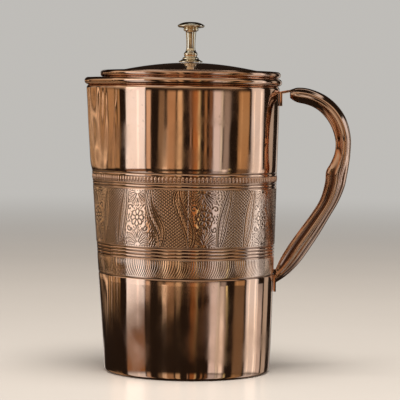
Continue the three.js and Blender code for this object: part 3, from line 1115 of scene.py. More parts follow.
    def make_strokes(self) -> bpy.types.Object:
        """Builds the ring of slanted strokes under the frieze."""
        z = np.linspace(self.band.stroke_low, self.band.stroke_high, self.stroke_rows)
        angle = np.arange(self.stroke_columns) * TAU / self.stroke_columns
        cut = self.band.strokes(angle[None, :], z[:, None])
        offset = self.dents(angle[None, :], z[:, None]) - self.band.stroke_depth * cut
        # The deeper part of each stroke is painted dark by the finish: painted shade and dark
        # residue.
        return self.make_ring("stroke_ring", angle, z, offset, smoothstep(0.35, 0.85, cut), True)

    def bead_points(self) -> bpy.types.Object:
        """Loose points evenly round the wall, each with the wall's outward direction.

        Returns:
            The object that the bead tree stands its beads on.
        """
        count, height, sink = self.band.bead_count, self.band.bead_height, self.band.bead_sink
        fine = np.linspace(0.0, TAU, 4001)
        p = self.plan.place(fine, -sink, np.full_like(fine, height))
        length = np.concatenate([[0.0], np.cumsum(np.linalg.norm(np.diff(p, axis=0), axis=1))])
        angle = np.interp(np.arange(count) * length[-1] / count, length, fine)
        z = np.full(count, height)
        at = self.plan.place(angle, np.full(count, -sink), z)
        above = self.plan.place(angle, np.full(count, -sink), z + MM) - at
        beside = self.plan.place(angle + 0.001, np.full(count, -sink), z) - at
        facing = np.cross(beside, above)
        facing /= np.linalg.norm(facing, axis=1)[:, None]
        obj = plain_mesh("bead_row", at.tolist())
        store(obj.data, "facing", "FLOAT_VECTOR", facing)
        return obj

    def make_foot(self) -> bpy.types.Object:
        """Builds the foot disc with its turned-up edge and shallow spinning rings."""
        low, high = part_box("base_disc")
        radius, rise, thick, corner = high[0], high[2] - low[2], 1.0 * MM, 4.0 * MM
        flat = np.linspace(0.0, radius - corner - 0.7 * MM, 40)
        ripple = 0.02 * MM * np.sin(flat / (2.2 * MM) * TAU / 2) ** 2
        under = np.column_stack([flat, low[2] + ripple])
        bend = arc((radius - corner - 0.45 * MM, low[2] + corner), corner, -85, 0, 10)
        edge = np.array([[radius - 0.05 * MM, low[2] + rise], [radius - thick, low[2] + rise]])
        back = arc((radius - corner - 0.45 * MM, low[2] + corner), corner - thick, 0, -90, 8)
        return lathe(
            "foot_disc", np.vstack([under, bend, edge, back, [[0.0, low[2] + thick]]]), 160, False
        )

    def build(self, dresser: Dresser) -> None:
        """Builds, dresses and hands over every piece of the body."""
        slot, node = "copper_wall", "body_wall"
        dresser.deliver(self.make_wall(), Finish.WALL, "jug", node)
        for piece in self.make_frieze():
            dresser.deliver(piece, Finish.FRIEZE, "jug", node)
        beads = BeadShape().stand_on(self.bead_points())
        dresser.deliver(beads, Finish.WALL, "jug", node)
        dresser.deliver(self.make_strokes(), Finish.FRIEZE, "jug", node)
        dresser.deliver(self.make_foot(), Finish.FOOT, "jug", "base_disc")


@dataclass(frozen=True)
class BeadShape:
    """One bead of the row round the wall, repeated by a Geometry Nodes tree."""

    width: float = 1.9 * MM
    height: float = 4.0 * MM
    relief: float = 0.42 * MM
    variation: float = 0.07
    seed: int = 11

    def shape(self, nodes: Tree, given: dict[str, bpy.types.NodeSocket]) -> bpy.types.NodeSocket:
        """Adds the nodes that make one bead: X outwards, Y along the wall, Z up.

        Args:
            nodes: the tree to add to.
            given: the tree's inputs by name.

        Returns:
            The bead's geometry socket.
        """
        ball = nodes.add("GeometryNodeMeshUVSphere", {"Segments": 10, "Rings": 8, "Radius": 1.0})
        spans = {"X": given["Relief"], "Y": given["Width"], "Z": given["Height"]}
        size = nodes.add("ShaderNodeCombineXYZ", spans)
        half = nodes.add(
            "ShaderNodeVectorMath", {0: size.outputs[0], 1: (1.0, 0.5, 0.5)}, operation="MULTIPLY"
        )
        pill = nodes.add(
            "GeometryNodeTransform", {"Geometry": ball.outputs[0], "Scale": half.outputs[0]}
        )
        return pill.outputs[0]

    def stand_on(self, points: bpy.types.Object) -> bpy.types.Object:
        """Repeats the bead on a mesh of points and returns the result as a plain mesh.

        Args:
            points: loose points with a facing attribute.

        Returns:
            The same object with its finished mesh.
        """
        sizes = {
            "Width": self.width,
            "Height": self.height,
            "Relief": self.relief,
            "Variation": self.variation,
        }
        group = bpy.data.node_groups.new("bead_row", "GeometryNodeTree")
        nodes = Tree(group)
        for way in ("INPUT", "OUTPUT"):
            group.interface.new_socket("Geometry", in_out=way, socket_type="NodeSocketGeometry")
        for label, value in sizes.items():
            socket = group.interface.new_socket(
                label, in_out="INPUT", socket_type="NodeSocketFloat"
            )
            socket.default_value = value
        source = nodes.add("NodeGroupInput")
        given = {label: source.outputs[label] for label in sizes}
        facing = nodes.add(
            "GeometryNodeInputNamedAttribute", {"Name": "facing"}, data_type="FLOAT_VECTOR"
        )
        out = nodes.add(
            "FunctionNodeAlignRotationToVector", {"Vector": facing.outputs[0]}, axis="X"
        )
        up = nodes.add(
            "FunctionNodeAlignRotationToVector",
            {"Rotation": out.outputs[0], "Vector": (0.0, 0.0, 1.0)},
            axis="Z",
            pivot_axis="X",
        )
        vary = nodes.add("FunctionNodeRandomValue", {"Seed": self.seed}, data_type="FLOAT")
        for number, sign in ((2, "SUBTRACT"), (3, "ADD")):
            nodes.tree.links.new(nodes.math(sign, 1.0, given["Variation"]), vary.inputs[number])
        placed = nodes.add(
            "GeometryNodeInstanceOnPoints",
            {
                "Points": source.outputs["Geometry"],
                "Instance": self.shape(nodes, given),
                "Rotation": up.outputs[0],
                "Scale": vary.outputs[1],
            },
        )
        real = nodes.add("GeometryNodeRealizeInstances", {"Geometry": placed.outputs[0]})
        smooth = nodes.add(
            "GeometryNodeSetShadeSmooth", {"Geometry": real.outputs[0], "Shade Smooth": True}
        )
        nodes.add("NodeGroupOutput", {"Geometry": smooth.outputs[0]})
        points.modifiers.new("repeat", "NODES").node_group = group
        apply_modifiers(points)
        return points


# ---------------------------------------------------------------------------
# The handle
# ---------------------------------------------------------------------------
@dataclass
class Handle:
    """The strap handle: a fluted channel with a tongue and tab above and a small tab below."""

    plan: JugPlan = field(default_factory=JugPlan)
    span: float = 127.0 * MM
    sheet: float = 1.0 * MM
    fold: float = 0.38
    foot_depth: float = 8.0 * MM
    foot_half: float = 3.4 * MM
    lip_tuck: float = 0.84
    upper_tuck: float = 0.60
    gap: float = 0.3 * MM
    tongue_drop: float = 2.5 * MM
    tongue_length: float = 8.0 * MM
    tongue_rise: float = 1.6 * MM
    tongue_lap: float = 2.5 * MM
    tongue_half: float = 5.2 * MM
    tab_below: float = 4.8 * MM
    tab_half: float = 3.3 * MM
    flute_height: float = 0.62 * MM
    # Depth below the plain section at which a flute's groove is painted fully dark, as shade and
    # dark residue.
    full_shade_and_dirt_depth: float = 0.42 * MM
    rings: int = 240
    side_steps: int = 22
    crown_steps: int = 64
    stations: tuple[tuple[float, ...], ...] = (
        (6.9, 0.0, 7.0, 0.043, 5.4), (12.1, -0.011, 11.2, 0.063, 6.5),
        (20.1, -0.004, 18.3, 0.076, 7.0), (30.0, 0.028, 25.1, 0.1, 7.2),
        (38.3, 0.081, 30.9, 0.142, 7.4), (44.2, 0.15, 35.3, 0.198, 7.5),
        (47.4, 0.24, 37.8, 0.264, 7.5), (47.5, 0.327, 37.5, 0.323, 7.6),
        (46.8, 0.386, 35.3, 0.374, 7.8), (45.9, 0.437, 32.5, 0.418, 8.3),
        (44.4, 0.5, 32.0, 0.48, 8.5), (40.8, 0.575, 29.3, 0.563, 8.2),
        (35.8, 0.647, 24.0, 0.636, 7.6), (29.6, 0.735, 16.9, 0.716, 6.8),
        (23.1, 0.818, 10.1, 0.794, 5.8), (16.5, 0.893, 5.1, 0.86, 4.8),
        (9.3, 0.953, 2.4, 0.906, 4.0),
    )
    flute_lines: tuple[tuple[float, ...], ...] = (
        (0.55, 0.45, 0.40, 0.06, 0.05), (-0.42, -0.25, 0.56, 0.03, 0.06),
        (0.30, 0.22, 0.68, 0.0, 0.06),
        (-0.10, -0.70, 0.80, 0.0, 0.05), (-0.10, -1.00, 0.27, 0.0, 0.085),
        (0.10, 0.50, 0.09, 0.0, 0.05),
    )

    def routes(self) -> tuple[Array, Array, Array]:
        """The crown line, the lip line and the half width along the strap.

        Returns:
            Crown X and Z, lip X and Z, and half width, one row for each ring.
        """
        s = np.array(self.stations)
        crown_z, lip_z = (self.plan.height - s[:, column] * self.span for column in (1, 3))
        crown = np.column_stack([self.plan.radius(crown_z) + s[:, 0] * MM, crown_z])
        lip = np.column_stack([self.plan.radius(lip_z) + s[:, 2] * MM, lip_z])
        low = self.plan.height - self.span
        foot_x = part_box("handle")[0][0] + self.sheet / 2
        crown = np.vstack([crown, [foot_x, low]])
        lip = np.vstack([lip, [foot_x, low + self.foot_depth]])
        half = np.append(s[:, 4] * MM, self.foot_half)[:, None]
        return spline(crown, self.rings), spline(lip, self.rings), spline(half, self.rings)[:, 0]

    def make_strap(self) -> bpy.types.Object:
        """Lofts the fluted channel."""
        crown, lip, half = self.routes()
        out = crown - lip
        depth = np.linalg.norm(out, axis=1)
        out /= depth[:, None]
        side = np.linspace(0.0, 1.0, self.side_steps, endpoint=False)
        around = np.linspace(0.0, math.pi, self.crown_steps + 1)
        along = np.linspace(0.0, 1.0, self.rings)[:, None]
        lip_share = (
            self.upper_tuck + (self.lip_tuck - self.upper_tuck) * smoothstep(0.36, 0.52, along)
        )
        tuck = lip_share + (1 - lip_share) * side[None, :]
        width = np.hstack([tuck, np.tile(np.cos(around), (self.rings, 1)), -tuck[:, ::-1]])
        rise = np.concatenate(
            [
                side * self.fold,
                self.fold + (1 - self.fold) * np.sin(around),
                (side * self.fold)[::-1],
            ]
        )
        flute = self.flutes(rise[None, :], along)
        facing = self.facings(width, rise, half, depth)
        y = width * half[:, None] + facing[0] * flute
        h = rise[None, :] * depth[:, None] + facing[1] * flute
        y_in = width * half[:, None] - facing[0] * self.sheet
        h_in = np.maximum(rise[None, :] * depth[:, None] - facing[1] * self.sheet, 0.0)
        loops = []
        for across, up in ((y, h), (y_in[:, ::-1], h_in[:, ::-1])):
            x = lip[:, 0, None] + out[:, 0, None] * up
            z = lip[:, 1, None] + out[:, 1, None] * up
            loops.append(np.stack(np.broadcast_arrays(x, across, z), axis=-1))
        verts = np.concatenate(loops, axis=1)
        rings, count = verts.shape[:2]
        faces = grid_faces(rings, count, False, True)
        k = np.arange(count // 2 - 1)
        for base, flip in ((0, False), ((rings - 1) * count, True)):
            cap = np.stack(
                [base + k, base + k + 1, base + count - 2 - k, base + count - 1 - k], axis=1
            )
            faces = np.vstack([faces, cap[:, ::-1] if not flip else cap])
        # The flutes' grooves go in as cavity, and the finish paints them dark: painted shade and
        # dark residue.
        cavity = np.zeros((rings, count))
        cavity[:, : len(rise)] = np.clip(-flute / self.full_shade_and_dirt_depth, 0.0, 1.0)
        return outward(add_mesh("handle_strap", verts.reshape(-1, 3), faces, cavity.ravel()))

    def facings(self, width: Array, rise: Array, half: Array, depth: Array) -> tuple[Array, Array]:
        """Outward direction of the strap's section at each place, across and up.

        Args:
            width: share of the half width, signed, of each point of each ring's section.
            rise: share of the depth of each point.
            half: half width of each ring.
            depth: depth of each ring.

        Returns:
            The two components, rings by points.
        """
        y, h = width * half[:, None], rise[None, :] * depth[:, None]
        dy, dh = np.gradient(y, axis=1), np.gradient(h, axis=1)
        size = np.maximum(np.hypot(dy, dh), 1e-9)
        return dh / size, -dy / size

    def flutes(self, rise: Array, along: Array) -> Array:
        """Height of the pressed flutes across the strap.

        Args:
            rise: share of the strap's depth, from its lip.
            along: share of its length, from the rim end.

        Returns:
            The height of the flutes above the plain section.
        """
        ends = smoothstep(0.0, 0.06, along) * smoothstep(1.0, 0.9, along)
        lower = smoothstep(0.42, 0.56, along)
        total = np.zeros(np.broadcast(rise, along).shape)
        for on_upper, on_lower, at, shift, spread in self.flute_lines:
            amount = on_upper * (1.0 - lower) + on_lower * lower
            total += amount * np.exp(-(((rise - at - shift * lower) / spread) ** 2))
        return self.flute_height * total * ends

    def make_plate(
        self, name: str, outline: Sequence[tuple[float, float]], half: float
    ) -> bpy.types.Object:
        """A bent strip with rounded edges.

        Args:
            name: the object's name.
            outline: X and Z of the strip's section.
            half: half its width.

        Returns:
            The finished strip.
        """
        count = len(outline)
        verts = [(x, y, z) for y in (-half, half) for x, z in outline]
        ends = [list(range(count)), list(range(count, 2 * count))[::-1]]
        sides = [[i, (i + 1) % count, count + (i + 1) % count, count + i] for i in range(count)]
        obj = outward(plain_mesh(name, verts, ends + sides))
        bevel = obj.modifiers.new("edges", "BEVEL")
        bevel.width, bevel.segments, bevel.limit_method = 0.3 * MM, 3, "ANGLE"
        apply_modifiers(obj)
        obj.data.polygons.foreach_set("use_smooth", [True] * len(obj.data.polygons))
        return obj

    def build(self, dresser: Dresser) -> None:
        """Builds, dresses and hands over the handle's pieces."""
        strap = self.make_strap()
        start_x, start_z = self.routes()[0][0]
        inner = float(self.plan.radius(np.array(self.plan.height))) + self.gap
        outer = inner + self.sheet
        bottom = self.plan.height - self.tongue_drop - self.tongue_length
        lap = start_x + self.tongue_lap
        tongue_line = [
            (inner, bottom),
            (outer, bottom),
            (outer, start_z - self.tongue_rise - self.sheet),
            (lap, start_z - self.sheet + 0.2 * MM),
            (lap, start_z + 0.1 * MM),
            (inner + 0.2 * MM, start_z - self.tongue_rise),
        ]
        foot_x, foot_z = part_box("handle")[0][0], self.plan.height - self.span
        low, high = foot_z - self.tab_below, foot_z + self.foot_depth + self.sheet
        tab_line = [
            (foot_x, low), (foot_x + self.sheet, low), (foot_x + self.sheet, high), (foot_x, high)
        ]
        tongue = self.make_plate("handle_tongue", tongue_line, self.tongue_half)
        tab = self.make_plate("handle_foot_tab", tab_line, self.tab_half)
        for piece in (strap, tongue, tab):
            dresser.deliver(piece, Finish.HANDLE, "jug", "handle")


# ---------------------------------------------------------------------------
# The lid
# ---------------------------------------------------------------------------
@dataclass
class Lid:
    """The domed lid with its rolled edge, collar, turned knob, screw and washer."""

    sheet: float = 0.8 * MM
    curl: float = 1.7 * MM
    shoulder: float = 3.8 * MM
    edge_raise: float = 0.6 * MM
    rise: float = 6.6 * MM
    fullness: float = 1.15
    hole: float = 2.3 * MM
    steps: int = 256
    knob_rise: tuple[tuple[float, float, float], ...] = (
        (7.75, 0.0, 0.2), (7.75, 0.75, 0.35), (6.4, 1.35, 0.8), (5.35, 2.0, 0.4), (5.3, 3.0, 0.45),
        (4.2, 3.45, 0.3), (4.1, 3.95, 0.3), (4.45, 4.7, 0.8), (4.45, 6.0, 0.8), (3.4, 7.1, 0.8),
        (2.95, 8.6, 1.5), (2.9, 13.5, 4.0), (3.35, 19.0, 0.8), (3.5, 20.0, 0.4), (4.9, 20.6, 0.35),
        (4.95, 21.7, 0.4), (4.4, 22.0, 0.3), (8.1, 22.6, 0.6), (8.85, 23.2, 0.5), (8.75, 24.1, 0.6),
        (6.7, 25.35, 2.0), (3.6, 26.15, 2.0),
    )
    knob_top: float = 26.3 * MM
    gap: float = 0.3 * MM
    collar_start: float = 0.9 * MM
    collar_bend: float = 0.6 * MM
    shank: float = 2.0 * MM
    thread_step: float = 0.35 * MM
    thread_depth: float = 0.22 * MM
    head_radius: float = 3.8 * MM
    slot_half_length: float = 5.0 * MM
    slot_half_width: float = 0.55 * MM
    slot_height: float = 0.9 * MM

    def dome_height(self, r: Array, edge_radius: float, edge_height: float) -> Array:
        """Height of the middle of the dome's sheet at a radius."""
        share = np.maximum(1 - (r / edge_radius) ** 2, 0.0)
        return edge_height + self.rise * share**self.fullness

    def make_sheet(self) -> bpy.types.Object:
        """Builds the domed sheet with its rolled edge."""
        low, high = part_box("lid_dome")
        curl_x = high[0] - self.curl - self.sheet / 2
        curl_z = low[2] + self.curl + self.sheet / 2
        radius, edge = curl_x - self.shoulder, curl_z + self.edge_raise
        r = np.linspace(self.hole, radius, 70)
        dome = np.column_stack([r, self.dome_height(r, radius, edge)])
        roll = arc((curl_x, curl_z), self.curl, 115, -150, 30)
        shoulder = spline([dome[-2], dome[-1], roll[0], roll[1]], 12)[5:8]
        path = np.vstack([dome, shoulder, roll])
        return lathe("lid_sheet", sheet_loop(path, self.sheet), self.steps, True)

    def make_collar(self) -> bpy.types.Object:
        """Builds the collar that centres the lid in the mouth."""
        low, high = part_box("lid_collar")
        middle, start = high[0] - self.sheet / 2, low[2] + self.collar_start
        heights = np.linspace(start, high[2], 24)
        path = np.vstack([
            arc((middle - self.collar_bend, start), self.collar_bend, -100, 0, 8),
            np.column_stack([np.full(len(heights), middle), heights]),
        ])
        return lathe("lid_collar_ring", sheet_loop(path, self.sheet), self.steps, True)

    def make_knob(self) -> bpy.types.Object:
        """Builds the turned knob with the bore for its screw."""
        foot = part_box("lid_knob")[0][2]
        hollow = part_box("knob_screw")[1][2] + self.gap
        bore = [(0.0, hollow, 0.0), (self.hole, hollow, 0.0), (self.hole, foot, 0.0)]
        outline = [(r * MM, foot + z * MM, corner * MM) for r, z, corner in self.knob_rise]
        section = rounded_section([*bore, *outline, (0.0, foot + self.knob_top, 0.0)], 7)
        return lathe("turned_knob", section, 128, False)

    def make_screw(self) -> bpy.types.Object:
        """Builds the slotted and threaded screw under the dome."""
        low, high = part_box("knob_screw")
        bottom, tip = low[2], high[2]
        head_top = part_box("knob_washer")[0][2] - self.gap
        head = [
            (0.0, bottom, 0.0),
            (3.0 * MM, bottom, 0.8 * MM),
            (self.head_radius, bottom + 0.9 * MM, 0.5 * MM),
            (self.head_radius, head_top, 0.1 * MM),
        ]
        thread = [
            (self.shank - self.thread_depth * (i % 2), head_top + self.thread_step * i, 0.0)
            for i in range(int((tip - head_top) / self.thread_step))
        ]
        point = [(self.shank - 0.3 * MM, tip, 0.1 * MM), (0.0, tip, 0.0)]
        screw = lathe("knob_screw_turned", rounded_section([*head, *thread, *point], 3), 48, False)
        self.cut_slot(screw, bottom)
        return screw

    def make_washer(self) -> bpy.types.Object:
        """Builds the washer between the screw's head and the dome."""
        low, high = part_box("knob_washer")
        bottom, top, middle = low[2], high[2], (low[2] + high[2]) / 2
        ring = [
            (self.hole, middle, 0.0),
            (self.hole, bottom, 0.2 * MM),
            (high[0], bottom, 0.3 * MM),
            (high[0], top, 0.3 * MM),
            (self.hole, top, 0.2 * MM),
            (self.hole, middle + 0.01 * MM, 0.0),
        ]
        return lathe("dished_washer", rounded_section(ring, 4), 96, True)

    def build(self, dresser: Dresser) -> None:
        """Builds, dresses and hands over the lid's pieces."""
        dresser.deliver(self.make_sheet(), Finish.LID, "lid", "lid_dome")
        dresser.deliver(self.make_collar(), Finish.LID, "lid", "lid_collar")
        dresser.deliver(self.make_knob(), Finish.KNOB, "lid", "lid_knob")
        dresser.deliver(self.make_screw(), Finish.STEEL, "lid", "knob_screw")
        dresser.deliver(self.make_washer(), Finish.KNOB, "lid", "knob_washer")

    def cut_slot(self, screw: bpy.types.Object, bottom: float) -> None:
        """Cuts the driver slot into the screw's head.

        Args:
            screw: the turned screw.
            bottom: height of the underside of its head.
        """
        x, y, z = self.slot_half_length, self.slot_half_width, self.slot_height
        corners = [
            (
                i * x, j * y, bottom - z * 0.3 + k * z
            ) for k in (0, 1) for j in (-1, 1) for i in (-1, 1)
        ]
        faces = [(0, 2, 3, 1), (4, 5, 7, 6), (0, 1, 5, 4), (2, 6, 7, 3), (0, 4, 6, 2), (1, 3, 7, 5)]
        cutter = plain_mesh("slot_cutter", corners, faces)
        modifier = screw.modifiers.new("slot", "BOOLEAN")
        modifier.object, modifier.operation = cutter, "DIFFERENCE"
        apply_modifiers(screw)
        bpy.data.objects.remove(cutter)


# ---------------------------------------------------------------------------
# The studio
# ---------------------------------------------------------------------------
TABLE_TOP_STARTS = (-13.0, -17.0)
TABLE_TOP_ENDS = (-48.0, -38.0)


@dataclass(frozen=True)
class Softbox:
    """A soft light seen from the jug as an upright patch of the room, and dimmer in the table top.

    Angles are degrees. The colour holds the strength, and in_table is the share of it that the
    table top shows.
    """

    bearing: float
    width: float
    colour: tuple[float, float, float]
    low: float = -14.0
    high: float = 4.0
    edge: float = 0.8
    slope: float = 2.5
    in_table: float = 0.62

    def glow(
        self, tree: Tree, azimuth: bpy.types.NodeSocket, elevation: bpy.types.NodeSocket
    ) -> bpy.types.NodeSocket:
        """Adds the nodes for the softbox's light.

        Args:
            tree: the world's tree.
            azimuth: direction round the jug, in degrees from the camera's side, + towards +X.
            elevation: direction above the horizon, in degrees.

        Returns:
            The light that it sends, as a vector.
        """
        turned = tree.math("SUBTRACT", azimuth, self.bearing)
        wrapped = tree.add(
            "ShaderNodeMath", {0: turned, 1: 180.0, 2: -180.0}, operation="WRAP"
        ).outputs[0]
        away = tree.math("ABSOLUTE", wrapped)
        across = tree.ramp(away, self.width / 2 - self.edge, self.width / 2 + self.edge, 1.0, 0.0)
        bottom = tree.ramp(elevation, self.low - self.slope / 2, self.low + self.slope / 2)
        top = tree.ramp(elevation, self.high - self.slope, self.high + self.slope, 1.0, 0.0)
        mirrored = tree.math("MULTIPLY", tree.ramp(elevation, *TABLE_TOP_STARTS), self.in_table)
        faded = tree.math("MULTIPLY", mirrored, tree.ramp(elevation, *TABLE_TOP_ENDS))
        upright = tree.math("MAXIMUM", tree.math("MULTIPLY", bottom, top), faded)
        mask = tree.math("MULTIPLY", across, upright)
        scaled = tree.add("ShaderNodeVectorMath", {0: self.colour}, operation="SCALE")
        tree.tree.links.new(mask, scaled.inputs["Scale"])
        return scaled.outputs[0]


@dataclass
class Studio:
    """A pale floor, soft light from all sides and the camera."""

    camera_distance: float = 1.2
    camera_height: float = 0.1694
    camera_side: float = 0.0073
    pitch: float = 2.755
    roll: float = -0.76
    lens: float = 165.25
    floor_half: float = 40.0
    overhead_power: float = 58.0
    overhead_size: float = 1.1
    backdrop: tuple[float, float, float] = (0.52, 0.505, 0.48)
    room: tuple[float, float, float] = (0.016, 0.011, 0.008)
    softboxes: tuple[Softbox, ...] = (
        Softbox(-74.5, 31.0, (1.00, 1.03, 1.13), low=-8.4, high=15.0, slope=2.2, edge=0.9),
        Softbox(-74.5, 31.0, (0.22, 0.11, 0.05), high=-9.5, slope=1.5, edge=1.5, in_table=0.0),
        Softbox(-70.0, 3.0, (0.34, 0.31, 0.31), low=-8.4, slope=1.2, edge=0.9),
        Softbox(-54.0, 6.0, (0.66, 0.46, 0.33), low=-8.0, slope=2.0),
        Softbox(-36.0, 7.0, (0.22, 0.15, 0.09), low=-8.0, slope=2.0, edge=1.4),
        Softbox(-30.5, 6.0, (0.95, 0.76, 0.58), low=-9.0, high=-3.7, slope=1.2, edge=1.0),
        Softbox(-23.0, 11.0, (0.44, 0.27, 0.15), low=-8.6, slope=3.0, edge=1.2),
        Softbox(-12.0, 6.0, (0.72, 0.52, 0.32), low=-8.2, slope=3.0, edge=0.9),
        Softbox(1.6, 1.5, (0.40, 0.26, 0.18), low=-8.0, slope=2.0, edge=0.5),
        Softbox(8.0, 7.0, (0.34, 0.13, 0.04), low=-9.0, slope=3.0, edge=1.4),
        Softbox(12.0, 2.6, (0.56, 0.47, 0.27), low=-8.6, slope=3.0),
        Softbox(20.5, 2.6, (0.34, 0.18, 0.08), low=-8.0, slope=2.0),
        Softbox(27.0, 4.0, (0.16, 0.08, 0.04), low=-8.0, slope=2.0),
        Softbox(35.0, 10.0, (0.66, 0.64, 0.70), edge=1.5),
        Softbox(41.5, 2.4, (0.62, 0.62, 0.58)),
        Softbox(48.5, 8.0, (0.28, 0.25, 0.24), edge=2.0),
        Softbox(46.5, 6.5, (0.62, 0.60, 0.60), high=-8.4, slope=1.8, edge=1.5),
        Softbox(54.0, 2.6, (0.75, 0.66, 0.34), low=-9.0, high=-6.0, slope=1.5),
        Softbox(74.0, 17.0, (0.38, 0.24, 0.12), low=-6.8, slope=2.0, edge=1.5),
        Softbox(74.0, 17.0, (0.15, 0.10, 0.06), high=-7.4, slope=1.0, edge=1.5, in_table=0.0),
        Softbox(70.0, 2.0, (0.14, 0.10, 0.06), low=-7.0, slope=2.0),
        Softbox(98.0, 23.0, (0.72, 0.74, 0.80), high=26.0, edge=2.0),
        Softbox(115.0, 13.0, (0.52, 0.50, 0.52), high=-6.6, slope=1.6, edge=1.5),
        Softbox(104.5, 3.0, (0.45, 0.48, 0.50)),
        Softbox(91.5, 1.6, (0.40, 0.38, 0.36)),
        Softbox(132.0, 13.0, (0.40, 0.37, 0.34), high=15.0, edge=1.5),
        Softbox(160.0, 6.0, (0.40, 0.38, 0.36), high=15.0, edge=1.5),
        Softbox(-104.5, 5.0, (0.36, 0.23, 0.12), low=-6.8, edge=0.8),
        Softbox(-110.8, 2.2, (1.05, 0.80, 0.56), low=-6.8, edge=0.6),
        Softbox(-117.0, 5.4, (0.40, 0.26, 0.14), low=-6.8, edge=0.8),
        Softbox(-123.6, 2.2, (1.05, 0.80, 0.56), low=-6.8, edge=0.6),
        Softbox(-130.4, 6.0, (0.42, 0.28, 0.15), low=-6.8, edge=0.8),
        Softbox(-137.6, 2.6, (1.00, 0.77, 0.55), low=-6.8, edge=0.7),
        Softbox(-145.0, 6.0, (0.40, 0.29, 0.19), low=-6.8, edge=1.0),
        Softbox(-168.0, 5.0, (0.50, 0.48, 0.46), high=15.0),
        Softbox(
            -98.0, 50.0, (0.60, 0.50, 0.40), low=6.0, high=30.0, slope=5.0, edge=6.0, in_table=0.0
        ),
        Softbox(180.0, 40.0, (0.26, 0.25, 0.235), edge=4.0, in_table=0.0),
        Softbox(
            0.0, 150.0, (0.46, 0.36, 0.27), low=9.0, high=42.0, slope=4.0, edge=8.0, in_table=0.0
        ),
        Softbox(0.0, 400.0, (0.62, 0.60, 0.58), low=58.0, high=66.0, slope=3.0, in_table=0.0),
        Softbox(
            -72.0, 62.0, (0.55, 0.56, 0.58), low=40.0, high=58.0, slope=6.0, edge=9.0, in_table=0.0
        ),
        Softbox(
            -12.0, 26.0, (0.50, 0.46, 0.40), low=40.0, high=56.0, slope=6.0, edge=6.0, in_table=0.0
        ),
    )

    def build(self) -> None:
        """Builds the floor, the lights, the world and the camera."""
        half = self.floor_half
        corners = [(-half, -half, 0), (half, -half, 0), (half, half, 0), (-half, half, 0)]
        floor = plain_mesh("floor", corners, [(0, 1, 2, 3)])
        floor.data.materials.append(self.floor_material())
        floor.visible_glossy = False
        overhead = bpy.data.lights.new("overhead", "AREA")
        overhead.shape, overhead.energy = "RECTANGLE", self.overhead_power
        overhead.size = overhead.size_y = self.overhead_size
        overhead.color = (1.0, 0.93, 0.86)
        top = link_object("overhead", overhead)
        top.location, top.visible_camera, top.visible_glossy = (0.1, -0.35, 1.9), False, False
        self.build_world()
        self.build_camera()
        bpy.context.scene.view_settings.view_transform = "Standard"

    def floor_material(self) -> bpy.types.Material:
        """A plain pale satin floor that fades into the backdrop far from the jug."""
        material = bpy.data.materials.new("pale_floor")
        material.use_nodes = True
        tree = Tree(material.node_tree)
        place = tree.add("ShaderNodeTexCoord").outputs["Object"]
        noise = tree.add("ShaderNodeTexNoise", {"Vector": place, "Scale": 5.0, "Detail": 4.0})
        colour = tree.mix(noise.outputs["Fac"], (0.70, 0.67, 0.63), (0.75, 0.72, 0.68))
        shader = tree.add("ShaderNodeBsdfPrincipled", {"Base Color": colour, "Roughness": 0.26})
        glow = tree.add("ShaderNodeEmission", {"Color": (*self.backdrop, 1.0), "Strength": 1.0})
        far = tree.add("ShaderNodeVectorMath", {0: place}, operation="LENGTH").outputs["Value"]
        both = tree.add(
            "ShaderNodeMixShader",
            {0: tree.ramp(far, 0.35, 2.6), 1: shader.outputs[0], 2: glow.outputs[0]},
        )
        tree.add("ShaderNodeOutputMaterial", {"Surface": both.outputs[0]})
        return material

    def build_world(self) -> None:
        """A dim warm room with softboxes standing round it, and a plain backdrop for the camera."""
        world = bpy.data.worlds.new("studio")
        bpy.context.scene.world = world
        world.use_nodes = True
        tree = Tree(world.node_tree)
        direction = tree.add("ShaderNodeTexCoord").outputs["Generated"]
        axes = tree.add("ShaderNodeSeparateXYZ", {0: direction})
        behind = tree.math("MULTIPLY", axes.outputs["Y"], -1.0)
        turn = tree.math("ARCTAN2", axes.outputs["X"], behind)
        azimuth = tree.math("MULTIPLY", turn, 360.0 / TAU)
        elevation = tree.math("MULTIPLY", tree.math("ARCSINE", axes.outputs["Z"]), 360.0 / TAU)
        total: bpy.types.NodeSocket | tuple[float, float, float] = self.room
        for box in self.softboxes:
            lit = box.glow(tree, azimuth, elevation)
            total = tree.add("ShaderNodeVectorMath", {0: total, 1: lit}, operation="ADD").outputs[0]
        light = tree.add("ShaderNodeBackground", {"Color": total, "Strength": 1.0})
        plain = tree.add("ShaderNodeBackground", {"Color": (*self.backdrop, 1.0), "Strength": 1.0})
        seen = tree.add("ShaderNodeLightPath").outputs["Is Camera Ray"]
        both = tree.add("ShaderNodeMixShader", {0: seen, 1: light.outputs[0], 2: plain.outputs[0]})
        tree.add("ShaderNodeOutputWorld", {"Surface": both.outputs[0]})

    def build_camera(self) -> None:
        """Places the camera, a little below the rim's height and a little rolled."""
        data = bpy.data.cameras.new("camera")
        data.lens, data.sensor_width = self.lens, 36.0
        data.clip_start, data.clip_end = 0.05, 200.0
        camera = link_object("camera", data)
        tip = Matrix.Rotation(math.radians(90 - self.pitch), 4, "X")
        turn = tip @ Matrix.Rotation(math.radians(-self.roll), 4, "Z")
        place = (self.camera_side, -self.camera_distance, self.camera_height)
        camera.matrix_world = Matrix.Translation(place) @ turn
        bpy.context.scene.camera = camera


def dress_cad_nodes(frame: dict, dresser: Dresser) -> None:
    """Gives the CAD wires that stay as they are their drawn steel finish."""
    for name in ("rim_wire", "lid_rim_wire"):
        dresser.dress(frame["nodes"][name], Finish.STEEL)


def main() -> None:
    """Loads the frame and builds everything round it."""
    logging.basicConfig(level=logging.INFO, format="%(message)s")
    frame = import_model()
    Studio().build()
    dresser = Dresser()
    JugBody().build(dresser)
    Handle().build(dresser)
    Lid().build(dresser)
    dress_cad_nodes(frame, dresser)


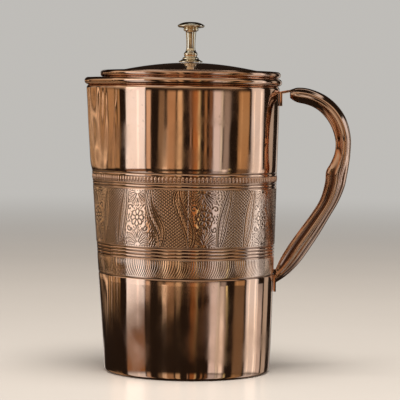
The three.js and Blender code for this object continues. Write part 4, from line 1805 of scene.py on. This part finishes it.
if __name__ == "__main__":
    main()
